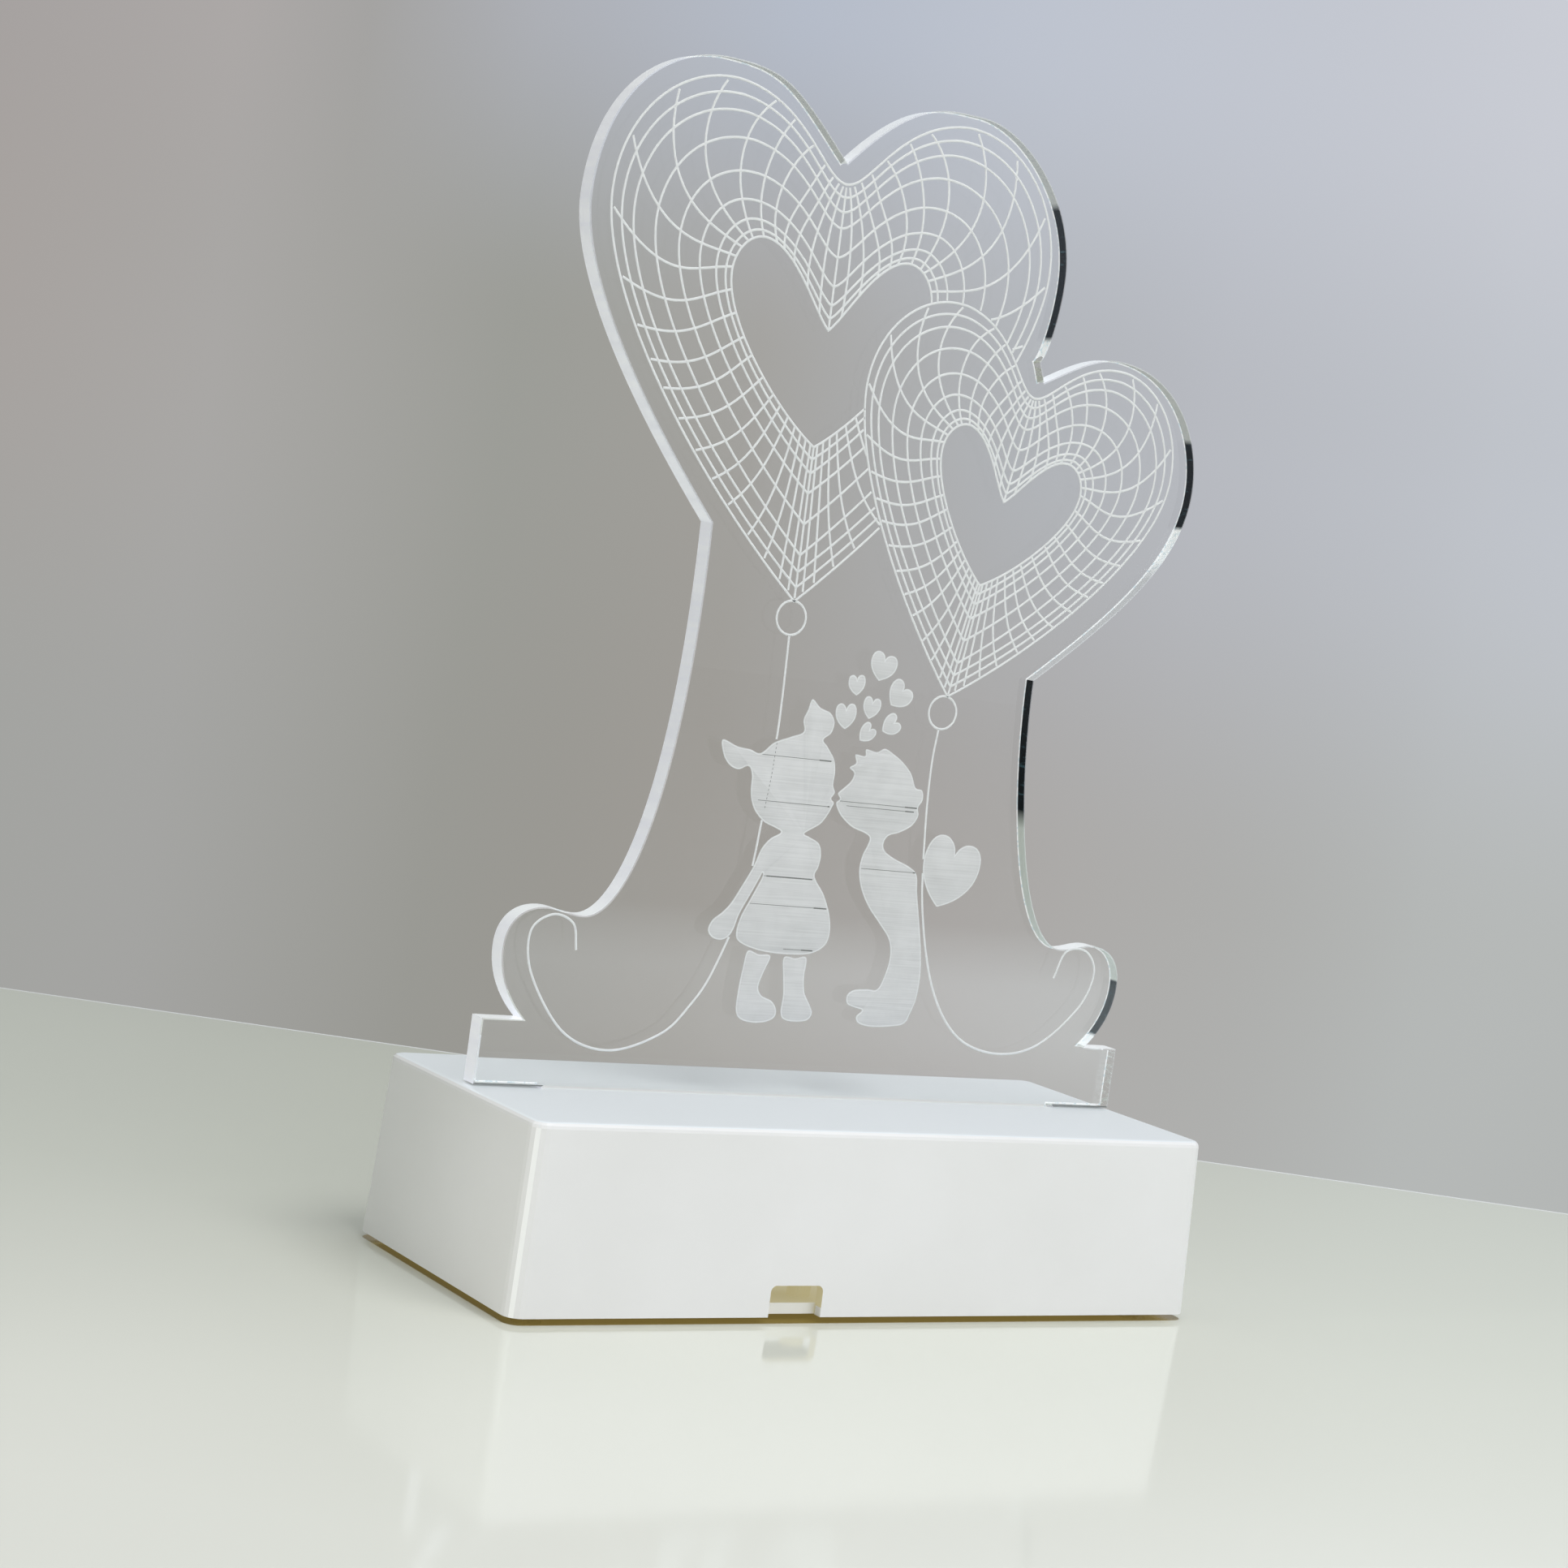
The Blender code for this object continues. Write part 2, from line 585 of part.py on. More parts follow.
def clamp_profile():
    """The clamp seen from behind, in X and Z: a bar with a groove over the cord."""
    half = CLAMP_LENGTH / 2
    top = CLAMP_BOTTOM + CLAMP_THICKNESS
    points = [(NOTCH_OFFSET + half, CLAMP_BOTTOM), (NOTCH_OFFSET + half, top)]
    points += [(NOTCH_OFFSET - half, top), (NOTCH_OFFSET - half, CLAMP_BOTTOM)]
    for step in range(CORNER_STEPS + 1):
        turn = math.pi * (1 - step / CORNER_STEPS)
        rise = CLAMP_THICKNESS / 2 * math.sin(turn)
        points.append((NOTCH_OFFSET + CLAMP_GROOVE_RADIUS * math.cos(turn), CLAMP_BOTTOM + rise))
    return points


def make_clamp(surface):
    """The grooved bar that presses the cord down, with its two screw holes."""
    mesh_data = bmesh.new()
    half = CLAMP_DEPTH / 2
    add_rings(mesh_data, [[(x, CLAMP_Y + side, z) for x, z in clamp_profile()] for side in (-half, half)])
    clamp = add_object("cord_clamp", mesh_data, surface)
    holes = bmesh.new()
    for x, y in clamp_places():
        add_cylinder(holes, x, y, CLAMP_BOTTOM - OVERRUN, CLAMP_BOTTOM + CLAMP_THICKNESS + OVERRUN,
                     SMALL_SHANK_RADIUS + SEAT_GAP, SMALL_SIDES)
    boolean(clamp, add_object("clamp_holes_tool", holes), "DIFFERENCE")
    return clamp


def main():
    clear_scene()
    white = material("white_plastic", (0.84, 0.85, 0.84), 0.32)
    acrylic = material("clear_acrylic", (0.93, 0.95, 0.95), 0.04, transmission=1.0)
    rubber = material("black_rubber", (0.03, 0.03, 0.03), 0.85)
    steel = material("zinc_steel", (0.62, 0.62, 0.60), 0.35, metallic=1.0)
    mask = material("board_white", (0.80, 0.81, 0.78), 0.45)
    led_case = material("led_case", (0.90, 0.86, 0.62), 0.40)
    chip = material("resistor_black", (0.02, 0.02, 0.02), 0.50)
    nylon = material("header_nylon", (0.86, 0.83, 0.74), 0.50)
    tin = material("tinned_pin", (0.72, 0.71, 0.68), 0.30, metallic=1.0)
    dark = material("clamp_black", (0.05, 0.05, 0.05), 0.55)

    make_panel(acrylic)
    make_shell(white)
    make_cover(white)
    make_feet(rubber)
    make_board(mask)
    make_leds(led_case)
    make_resistors(chip)
    make_header(nylon, tin)
    make_clamp(dark)
    make_screws("cover_screw", steel, corner_places(), LARGE_SCREW,
                SHELL_BOTTOM, COVER_SCREW_LENGTH, True)
    make_screws("board_screw", steel, board_places(), SMALL_SCREW,
                BOARD_BOTTOM - SEAT_GAP - SMALL_HEAD_HEIGHT, BOARD_SCREW_LENGTH, True)
    make_screws("clamp_screw", steel, clamp_places(), SMALL_SCREW,
                CLAMP_BOTTOM + CLAMP_THICKNESS + SEAT_GAP + SMALL_HEAD_HEIGHT, CLAMP_SCREW_LENGTH, False)


main()
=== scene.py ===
"""Looks of the optical illusion lamp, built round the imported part.

Lengths are metres in the part's own frame: +Z up, the lamp's front towards -Y.
The engraving is planned as seen from behind, with "across" growing towards -X.
A pair of numbers that Tree.span takes is where a span starts and where it ends.
"""
import math

import bmesh
import bpy
from mathutils import Matrix, Vector


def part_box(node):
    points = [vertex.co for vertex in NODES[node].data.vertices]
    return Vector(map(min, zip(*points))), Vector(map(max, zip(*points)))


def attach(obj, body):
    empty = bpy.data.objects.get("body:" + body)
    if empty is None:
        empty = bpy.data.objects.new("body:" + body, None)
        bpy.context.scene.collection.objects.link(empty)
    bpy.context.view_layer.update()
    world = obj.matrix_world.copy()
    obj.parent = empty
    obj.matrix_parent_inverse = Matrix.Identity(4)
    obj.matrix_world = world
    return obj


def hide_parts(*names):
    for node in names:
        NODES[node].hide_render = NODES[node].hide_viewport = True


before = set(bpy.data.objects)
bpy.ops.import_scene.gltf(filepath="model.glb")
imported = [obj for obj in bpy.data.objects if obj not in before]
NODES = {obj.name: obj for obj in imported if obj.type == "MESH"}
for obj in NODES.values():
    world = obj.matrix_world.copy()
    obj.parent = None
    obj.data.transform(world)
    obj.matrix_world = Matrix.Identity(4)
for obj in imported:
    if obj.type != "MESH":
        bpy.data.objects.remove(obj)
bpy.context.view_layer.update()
MM = 0.001

# Camera, as the photograph was taken
CAMERA_PLACE = Vector((332.2, 501.9, 134.0)) * MM
CAMERA_RIGHT = Vector((-0.8418, 0.5213, 0.1399))
CAMERA_FORWARD = Vector((-0.5332, -0.8434, -0.0658))
CAMERA_LENS = 72.8
CAMERA_SENSOR = 36.0

# Stage
WALL_NORMAL = Vector((0.5484, 0.8362, 0))
WALL_ALONG = Vector((-WALL_NORMAL.y, WALL_NORMAL.x, 0))
WALL_DISTANCE = 0.2055
WALL_WIDTH = 5.0
WALL_HEIGHT = 1.5
WALL_GAP = 0.1 * MM
FLOOR_HALF = 3.0
# The painted shadow under the base, a brown part of the table: its corners' radius and its soft rim
UNDER_RADIUS = 3.0 * MM
UNDER_FADE = 0.4 * MM

# The acrylic sheet's edge, as in the part's source. Shares are of its half length and of its rise;
# a curve's row is two handles and an end
PANEL_LOW, PANEL_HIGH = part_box("acrylic_panel")
PANEL_MIDDLE_X = -0.9 * MM
PANEL_HALF_LENGTH = 72.2 * MM
SHOULDER = 35.6 * MM
PANEL_RISE = 188.6 * MM
TAB_HALF_LENGTH = 58.25 * MM
SHEET_REAR = PANEL_HIGH.y
SHEET_FRONT = PANEL_LOW.y
SHEET_BEVEL = 0.26 * MM
BEVEL_DEPTH = 0.10 * MM
# An edge sharper than this many degrees is shaded as a crease
SHEET_CREASE = 14
LINE_CREASE = 50
FOOT_STEP_SHARE = 0.064
NOTCH_TIP_SHARE = (0.885, 0.064)
SCROLL_SHARES = (
    ((0.930, 0.080), (0.970, 0.103), (0.970, 0.132)),
    ((0.970, 0.158), (0.928, 0.174), (0.860, 0.174)),
    ((0.825, 0.174), (0.795, 0.168), (0.755, 0.168)),
)
LARGE_NECK_SHARES = (((0.635, 0.168), (0.519, 0.300), (0.543, 0.560)),)
SMALL_NECK_SHARES = (((-0.620, 0.168), (-0.535, 0.315), (-0.530, 0.447)),)
LARGE_HEART_SHARES = (
    ((0.750, 0.645), (1.009, 0.765), (1.009, 0.847)),
    ((1.009, 0.945), (0.850, 1.000), (0.665, 1.000)),
    ((0.500, 1.000), (0.470, 0.990), (0.291, 0.926)),
    ((0.110, 1.003), (0.020, 1.000), (-0.105, 1.000)),
    ((-0.250, 1.000), (-0.442, 0.938), (-0.442, 0.855)),
    ((-0.442, 0.817), (-0.416, 0.777), (-0.399, 0.772)),
)
SMALL_HEART_SHARES = (
    ((-0.406, 0.766), (-0.414, 0.759), (-0.421, 0.752)),
    ((-0.500, 0.768), (-0.580, 0.788), (-0.660, 0.788)),
    ((-0.870, 0.788), (-0.977, 0.725), (-0.977, 0.667)),
    ((-0.977, 0.590), (-0.775, 0.522), (-0.530, 0.447)),
)

# Engraving: a heart's half outline in shares of its height, (aside, up) from its tip
NET_OUTER = (
    (0.000, 1.000),
    ((0.070, 1.000), (0.130, 1.180), (0.333, 1.192)),
    ((0.500, 1.192), (0.624, 1.050), (0.624, 0.883)),
    ((0.624, 0.640), (0.310, 0.260), (0.000, 0.000)),
)
NET_INNER = (
    (0.000, 0.652),
    ((0.045, 0.690), (0.115, 0.838), (0.205, 0.843)),
    ((0.250, 0.843), (0.285, 0.800), (0.285, 0.748)),
    ((0.285, 0.630), (0.110, 0.440), (0.000, 0.372)),
)
# Each ring's depth between the two, on the heart's axis and at its widest
NET_RINGS = (
    (0, 0), (0.09, 0.085), (0.19, 0.18), (0.30, 0.36), (0.50, 0.555), (0.70, 0.73), (0.83, 0.87),
    (0.92, 0.95), (1, 1),
)
# Each spoke of a half from notch to tip: where it leaves the outer outline, where it meets the
# inner one, and its bow
NET_SPOKES = (
    (0.004, 0.053, 0.0), (0.010, 0.130, -0.01), (0.021, 0.205, -0.025), (0.039, 0.250, -0.028),
    (0.066, 0.278, -0.011), (0.106, 0.322, -0.013), (0.139, 0.355, 0.008), (0.210, 0.370, 0.035),
    (0.279, 0.395, 0.043), (0.365, 0.424, 0.043), (0.454, 0.453, 0.048), (0.537, 0.511, 0.035),
    (0.597, 0.572, 0.024), (0.641, 0.638, 0.020), (0.679, 0.691, 0.018), (0.721, 0.757, 0.012),
    (0.766, 0.812, 0.010), (0.808, 0.848, 0.010), (0.847, 0.886, 0.008), (0.894, 0.919, 0.008),
    (0.932, 0.944, 0.006), (0.967, 0.967, 0.0), (0.986, 0.987, 0.0),
)
# How far in a spoke starts, and how much lower it lies than a ring
SPOKE_START = 0.02
SPOKE_DROP = 0.008 * MM
# Each net's tip and notch, in millimetres
LARGE_NET = ((-18.4, 129.0), (-19.7, 206.4))
SMALL_NET = ((19.2, 114.8), (29.3, 174.1))

# Lines: half their width, how far they stand out of the sheet and reach into it, and the share of
# their width that is flat on top
LINE_HALF_WIDTH = 0.235 * MM
LINE_LIFT = 0.05 * MM
LINE_SINK = 0.03 * MM
LINE_TOP = 0.6
# Filled areas: the share of their lift where the bevel starts, and the bevel's width
PLATE_SIDE = 0.6
PLATE_BEVEL = 0.06 * MM
# The least cosine that a mitred corner counts with, for a line moved inwards and for a ribbon
INSET_MITRE = 0.35
RIBBON_MITRE = 0.5
# Loops and strings: a loop's middle and radius, and the points that a string runs through
LOOPS = (((-18.5, 125.9), 3.2), ((18.6, 111.6), 3.2))
LEFT_STRING = (
    (-18.4, 122.6), (-18.0, 110.6), (-18.0, 102.6), (-18.7, 87.7), (-20.2, 72.8), (-24.7, 58.8),
    (-28.8, 51.8), (-34.2, 46.3), (-44.6, 42.8), (-54.6, 45.8), (-62.5, 55.8), (-64.0, 63.8),
    (-60.0, 67.2), (-55.5, 65.8), (-54.2, 61.0),
)
RIGHT_STRING = (
    (18.2, 108.4), (17.8, 100.7), (18.5, 88.7), (20.6, 72.9), (25.6, 57.9), (33.0, 48.7),
    (43.0, 45.6), (52.9, 47.7), (61.9, 55.7), (64.6, 62.9), (61.9, 67.2), (56.9, 66.9),
    (54.6, 61.4),
)
# Filled hearts: middle across and up, width, height, and turn in degrees
SMALL_HEARTS = (
    (3.4, 118.9, 6.2, 5.5, -12), (8.0, 113.9, 5.8, 5.2, -38), (-1.9, 114.9, 3.9, 4.0, 6),
    (2.1, 110.9, 4.1, 4.3, -8), (-3.4, 108.8, 4.8, 5.0, 4), (7.0, 108.0, 4.2, 4.3, -55),
    (1.8, 106.0, 3.6, 4.0, -42),
)
HELD_HEART = (25.4, 80.6, 13.6, 13.8, -14)

# The two figures, a plain design of our own: closed lines through these points, in millimetres
GIRL = (
    ((-8.0, 86.5), (-5.6, 88.0), (-4.2, 90.0), (-3.6, 91.3), (-3.3, 92.2), (-4.0, 93.0),
     (-3.4, 94.2), (-4.0, 95.6), (-4.0, 98.0), (-4.6, 100.4), (-6.4, 102.6), (-7.6, 103.9),
     (-6.1, 105.3), (-5.7, 107.4), (-6.9, 109.1), (-9.3, 109.9), (-11.3, 111.3), (-12.0, 109.2),
     (-12.7, 107.2), (-12.3, 105.0), (-15.0, 103.8), (-18.4, 102.4), (-21.0, 100.2), (-23.4, 100.7),
     (-26.2, 101.0), (-29.6, 102.0), (-29.1, 99.4), (-27.6, 97.5), (-25.4, 96.7), (-23.3, 97.5),
     (-22.3, 96.0), (-22.1, 93.4), (-21.6, 91.2), (-20.4, 89.2), (-18.2, 87.4), (-15.4, 86.4),
     (-14.2, 85.7), (-16.4, 84.3), (-18.0, 82.2), (-19.1, 79.0), (-20.9, 75.4), (-22.8, 71.9),
     (-24.5, 69.9), (-26.4, 68.3), (-27.1, 66.4), (-26.0, 65.0), (-24.0, 64.6), (-22.4, 65.4),
     (-21.5, 67.0), (-20.7, 69.8), (-18.9, 73.6), (-17.3, 77.0), (-17.0, 77.8), (-16.9, 77.0),
     (-18.5, 73.4), (-20.3, 69.5), (-20.9, 66.4), (-20.0, 64.5), (-16.0, 63.2), (-11.0, 62.7),
     (-5.0, 62.9), (-1.6, 64.1), (-0.1, 66.4), (-0.5, 70.2), (-2.5, 74.4), (-5.2, 77.8),
     (-4.7, 79.8), (-4.5, 82.0), (-5.3, 84.2), (-7.6, 85.3), (-8.9, 85.8)),
    ((-17.8, 62.9), (-15.2, 62.4), (-12.6, 62.2), (-13.6, 59.0), (-14.3, 56.2), (-13.3, 54.6),
     (-11.0, 53.7), (-9.7, 52.2), (-9.8, 50.6), (-11.6, 49.6), (-14.6, 49.3), (-17.4, 49.9),
     (-18.6, 51.6), (-18.7, 55.4), (-18.4, 59.2)),
    ((-9.6, 62.1), (-7.0, 62.1), (-4.5, 62.3), (-4.4, 58.6), (-3.8, 55.6), (-2.3, 53.4),
     (-1.5, 51.7), (-2.4, 50.3), (-5.0, 49.9), (-7.6, 50.2), (-8.6, 51.6), (-8.6, 55.0),
     (-9.2, 58.6)),
)
BOY = (
    ((4.6, 87.0), (1.6, 87.9), (-1.0, 89.6), (-2.3, 91.1), (-2.8, 92.3), (-2.1, 93.1), (-2.7, 94.1),
     (-1.6, 95.2), (-0.2, 96.6), (0.3, 98.2), (-0.9, 99.2), (0.4, 100.2), (0.0, 101.8),
     (2.2, 101.7), (2.3, 103.0), (4.8, 102.7), (6.6, 103.5), (8.8, 102.6), (11.2, 101.2),
     (13.4, 99.2), (14.8, 96.7), (16.5, 96.2), (16.9, 94.4), (16.1, 92.8), (16.4, 91.2),
     (15.2, 89.2), (12.6, 87.7), (10.2, 86.9), (9.3, 85.4), (9.9, 83.9), (12.4, 82.6), (16.0, 81.3),
     (18.0, 79.8), (18.8, 76.0), (20.2, 70.8), (21.6, 65.0), (22.3, 60.0), (22.1, 55.8),
     (21.2, 52.8), (20.0, 50.6), (16.6, 49.9), (12.0, 49.7), (9.3, 50.3), (8.7, 51.6), (9.8, 52.8),
     (8.2, 53.2), (6.2, 53.9), (5.9, 55.6), (7.4, 56.7), (10.4, 57.0), (12.6, 57.1), (13.8, 59.6),
     (14.5, 63.4), (13.7, 66.8), (11.0, 69.8), (8.0, 72.8), (5.7, 76.2), (4.6, 79.6), (4.8, 82.6),
     (5.7, 84.8), (5.9, 86.2)),
)
# Where the cutter skipped a pass: from across, to across, up, and where the broader end starts
SKIPPED_LINES = (
    (-20.6, -5.2, 100.0, -7.9), (-20.2, -4.2, 91.4, -4.6), (-2.0, 15.8, 92.7, 13.0),
    (-0.4, 15.2, 91.9, 13.2), (-16.6, -5.7, 77.3, -16.0), (-18.8, -1.6, 71.9, -4.5),
    (-10.0, -3.4, 63.7, -6.0), (5.0, 17.6, 80.2, 17.0),
)
SKIP_HALF_WIDTHS = (0.07, 0.18)
# Where a string shows under a figure, as dashes
CROSSING = ((-17.8, 102.4), (-18.0, 96.1), (-18.5, 89.6))
CROSSING_DASHES = 16
# How far a skipped pass and a contour stand over the filled areas, and where the contour runs
SKIP_LIFT = 0.02 * MM
CONTOUR_LIFT = 0.012 * MM
CONTOUR_INSET = 0.2 * MM
CONTOUR_HALF_WIDTH = 0.17 * MM

# Steps to a curve of the sheet, of a net's outline and of a small heart, to half a ring, a spoke
# and a loop, and between two points of a string and of a figure
CURVE_STEPS = 36
NET_CURVE_STEPS = 60
HEART_CURVE_STEPS = 16
RING_STEPS = 240
SPOKE_STEPS = 24
LOOP_STEPS = 48
STRING_STEPS = 24
FIGURE_STEPS = 6

# The cut edge: the shoulders' underside, the top of the feet, and the step between the hearts
UNDERSIDE = 36.4 * MM
FOOT_LEVEL = 48.0 * MM
HEARTS_STEP = Vector((-30.6, -2.0, 179.0)) * MM
STEP_REACH = 3.4 * MM
# How the room that the cut's painted reflection stands for shifts with height, and the leans where
# one tone of that painted reflection gives way to the next
LEAN_SHIFT = 2.8
LEAN_LEVEL = 150.0 * MM
BLACK_TO_PALE = (0.33, 0.37)
BLACK_TO_WHITE = (-0.32, -0.35)
WHITE_TO_MILKY = (-0.52, -0.60)
PALE_LEVELS = (100.0 * MM, 140.0 * MM)
# How far a normal turns: along Y on the edge's bevels, up on its flat tops, down on its undersides,
# up on the base's top, and along Y on the notch's own walls
RIM_TURN = 0.6
FLAT_TOP = (0.3, 0.9)
UNDERSIDE_TURN = -0.1
BASE_TOP_TURN = 0.9
NOTCH_WALL_TURN = 0.4

# Half the shell's hollow and its roof, measured to the middle of the wall
SHELL_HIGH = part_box("base_shell")[1]
HOLLOW = Vector((SHELL_HIGH.x - 1.9 * MM, SHELL_HIGH.y - 1.9 * MM, SHELL_HIGH.z - 0.4 * MM))
# Where the painted glow inside the shell turns pale near the slot, the notch that it fills, the
# cover's glowing part, and how strong it is
SLOT_GLOW_LEVEL = 10.0 * MM
NOTCH_MIDDLE = 16.8 * MM
NOTCH_HALF = 5.8 * MM
NOTCH_ROOF = 7.3 * MM
COVER_GLOW_LEVEL = 2.9 * MM
COVER_GLOW_HALF = HOLLOW.y - 0.8 * MM
GLOW_SHARE = 0.8
GLOW_STRENGTH = 0.85
# The product of the normal's X and Y, which is 0.5 along an upright corner, where a painted
# highlight runs
CORNER_LINE = (0.465, 0.495)

# Finishes: roughness runs from GLOSS up by VARY, in clouds of so many to a metre. Then the grain's
# depth, and the share of a frosted line that lets light through
GLOSS_VARY = 0.12
COVER_GLOSS = 0.36
SHELL_GLOSS = 0.275
SHELL_GLOSS_VARY = 0.08
SHELL_CLOUDS = 25.0
MOULDED_CLOUDS = 60.0
BUMP_DEPTH = 0.2 * MM
FROST_THROUGH = 0.20

# Table: how its colour and painted light run away from the wall and along it, and the painted
# reflection that gloss sees of it behind the lamp
TABLE_NEAR = (-0.19, 0.21)
TABLE_ASIDE = (-0.15, 0.18)
GLARE_NEAR = (0.14, 0.28)
GLARE_ASIDE = (-0.06, -0.30)
GLARE_STRENGTHS = (0.15, 1.6)
MIRROR_EDGE = (0.40, 0.56)
DUSK_FAR = (0.8, 2.8)
# Wall: the painted part in metres, and where its middle and top rows of colour, which hold painted
# light and shade, take over, in shares of that height
WALL_ACROSS = (-0.25, 0.22)
WALL_UP = (0.0, 0.30)
WALL_MIDDLE_ROW = (0.20, 0.60)
WALL_TOP_ROW = (0.62, 0.93)
# Room: where the light from +X dims, and how what gloss mirrors gets paler upwards, through clouds
DIM_SIDE = (0.1, 0.9)
DIM_STRENGTHS = (0.69, 0.37)
ROOM_RISE = (-0.02, 0.13)
ROOM_CLOUDS = 1.2


def srgb(red, green, blue):
    """A display colour from 0 to 255 as the linear colour that shaders take."""
    def linear(value):
        value /= 255
        return value / 12.92 if value <= 0.04045 else ((value + 0.055) / 1.055) ** 2.4
    return (linear(red), linear(green), linear(blue), 1.0)


WHITE = (1, 1, 1, 1)
BLACK = (0, 0, 0, 1)
EDGE_CLEAR = (0.93, 0.94, 0.93, 1)
# The colour of the painted glow inside the shell and on the cover
HOLLOW_GLOW = srgb(192, 180, 132)
BACKDROP = srgb(206, 208, 212)


class Tree:
    """A short way to write a material's or the world's nodes. Most methods return an output."""

    def __init__(self, owner):
        owner.use_nodes = True
        self.tree = owner.node_tree
        self.tree.nodes.clear()

    def add(self, kind, inputs=None, **settings):
        """A node with its settings, and its inputs by name or number: each a value or a socket."""
        node = self.tree.nodes.new(kind)
        for name, value in settings.items():
            setattr(node, name, value)
        for name, value in (inputs or {}).items():
            if isinstance(value, bpy.types.NodeSocket):
                self.tree.links.new(value, node.inputs[name])
            else:
                node.inputs[name].default_value = value
        return node

    def maths(self, operation, first, second=0.0, third=0.0):
        node = self.add("ShaderNodeMath", {0: first, 1: second, 2: third}, operation=operation)
        return node.outputs[0]

    def multiply(self, first, *others):
        """A product of two or more numbers."""
        for other in others:
            first = self.maths("MULTIPLY", first, other)
        return first

    def span(self, value, start, end, low=0.0, high=1.0, **settings):
        """A value from start to end as one from low to high, which is held at both ends."""
        node = self.add("ShaderNodeMapRange", {
            "Value": value, "From Min": start, "From Max": end, "To Min": low, "To Max": high,
        }, **settings)
        return node.outputs[0]

    def ramp(self, factor, stops):
        """A colour ramp: stops are (position, colour)."""
        node = self.add("ShaderNodeValToRGB", {"Fac": factor})
        elements = node.color_ramp.elements
        while len(elements) < len(stops):
            elements.new(0.5)
        for element, (position, colour) in zip(elements, stops):
            element.position = position
            element.color = colour
        return node.outputs["Color"]

    def blend(self, factor, first, second, mode="MIX"):
        """A mix of two colours."""
        inputs = {0: factor, 6: first, 7: second}
        return self.add("ShaderNodeMix", inputs, data_type="RGBA", blend_type=mode).outputs[2]

    def mix(self, factor, first, second):
        """A mix of two shaders."""
        return self.add("ShaderNodeMixShader", {0: factor, 1: first, 2: second}).outputs[0]

    def place(self):
        """Where a point is on the object, in metres."""
        return self.add("ShaderNodeTexCoord").outputs["Object"]

    def split(self, vector):
        """A vector's three parts."""
        return self.add("ShaderNodeSeparateXYZ", {0: vector}).outputs

    def measure(self, operation, first, second=(0, 0, 0)):
        """A number from two vectors, such as their distance."""
        node = self.add("ShaderNodeVectorMath", {0: first, 1: second}, operation=operation)
        return node.outputs["Value"]

    def noise(self, place, scale, detail=3.0, stretch=(1, 1, 1)):
        """Noise over a place in metres: scale is how many blobs there are to a metre."""
        moved = self.add("ShaderNodeMapping", {"Vector": place, "Scale": stretch}).outputs[0]
        node = self.add("ShaderNodeTexNoise", {"Vector": moved, "Scale": scale, "Detail": detail})
        return node.outputs["Fac"]

    def bump(self, height, strength, distance=BUMP_DEPTH):
        inputs = {"Height": height, "Strength": strength, "Distance": distance}
        return self.add("ShaderNodeBump", inputs).outputs[0]

    def principled(self, inputs):
        return self.add("ShaderNodeBsdfPrincipled", inputs).outputs[0]

    def matt(self, colour):
        return self.add("ShaderNodeBsdfDiffuse", {"Color": colour}).outputs[0]

    def clear(self, colour=WHITE):
        """Lets rays straight through, tinted."""
        return self.add("ShaderNodeBsdfTransparent", {"Color": colour}).outputs[0]

    def glow(self, colour, strength=1.0):
        return self.add("ShaderNodeEmission", {"Color": colour, "Strength": strength}).outputs[0]

    def ray(self):
        """What kind of ray looks."""
        return self.add("ShaderNodeLightPath").outputs

    def seen(self):
        """1 for rays from the camera, off gloss and through clear things, and 0 for the others."""
        path = self.ray()
        either = self.maths("MAXIMUM", path["Is Camera Ray"], path["Is Glossy Ray"])
        return self.maths("MAXIMUM", either, path["Is Transmission Ray"])

    def surface(self, shader):
        self.add("ShaderNodeOutputMaterial", {"Surface": shader})


def new_material(name):
    made = bpy.data.materials.new(name)
    return made, Tree(made)


def moulded(name, colour, roughness, vary=0.05, grain=2500.0, depth=0.02, metallic=0.0):
    """Moulded plastic, rubber, lacquer or metal: colour and gloss vary a little, over fine grain."""
    made, t = new_material(name)
    place = t.place()
    clouds = t.noise(place, MOULDED_CLOUDS, 4.0)
    fine = t.noise(place, grain, 2.0)
    darker = tuple(channel * (1 - vary) for channel in colour[:3]) + (1.0,)
    t.surface(t.principled({
        "Base Color": t.ramp(clouds, ((0.3, darker), (0.7, colour))),
        "Roughness": t.maths("MULTIPLY_ADD", clouds, GLOSS_VARY, roughness - GLOSS_VARY / 2),
        "Metallic": metallic, "Normal": t.bump(fine, depth)}))
    return made


def clear_acrylic():
    """The sheet's two faces: clear, and letting the lamps through."""
    made, t = new_material("acrylic_clear")
    smear = t.noise(t.place(), 35.0, 3.0, (1, 1, 0.5))
    glass = t.principled({
        "Base Color": (0.985, 0.99, 0.985, 1), "Roughness": t.multiply(smear, 0.012), "IOR": 1.49,
        "Transmission Weight": 1.0})
    path = t.ray()
    open_ray = t.maths("MAXIMUM", path["Is Shadow Ray"], path["Is Diffuse Ray"])
    t.surface(t.mix(open_ray, glass, t.clear((0.94, 0.945, 0.94, 1))))
    return made


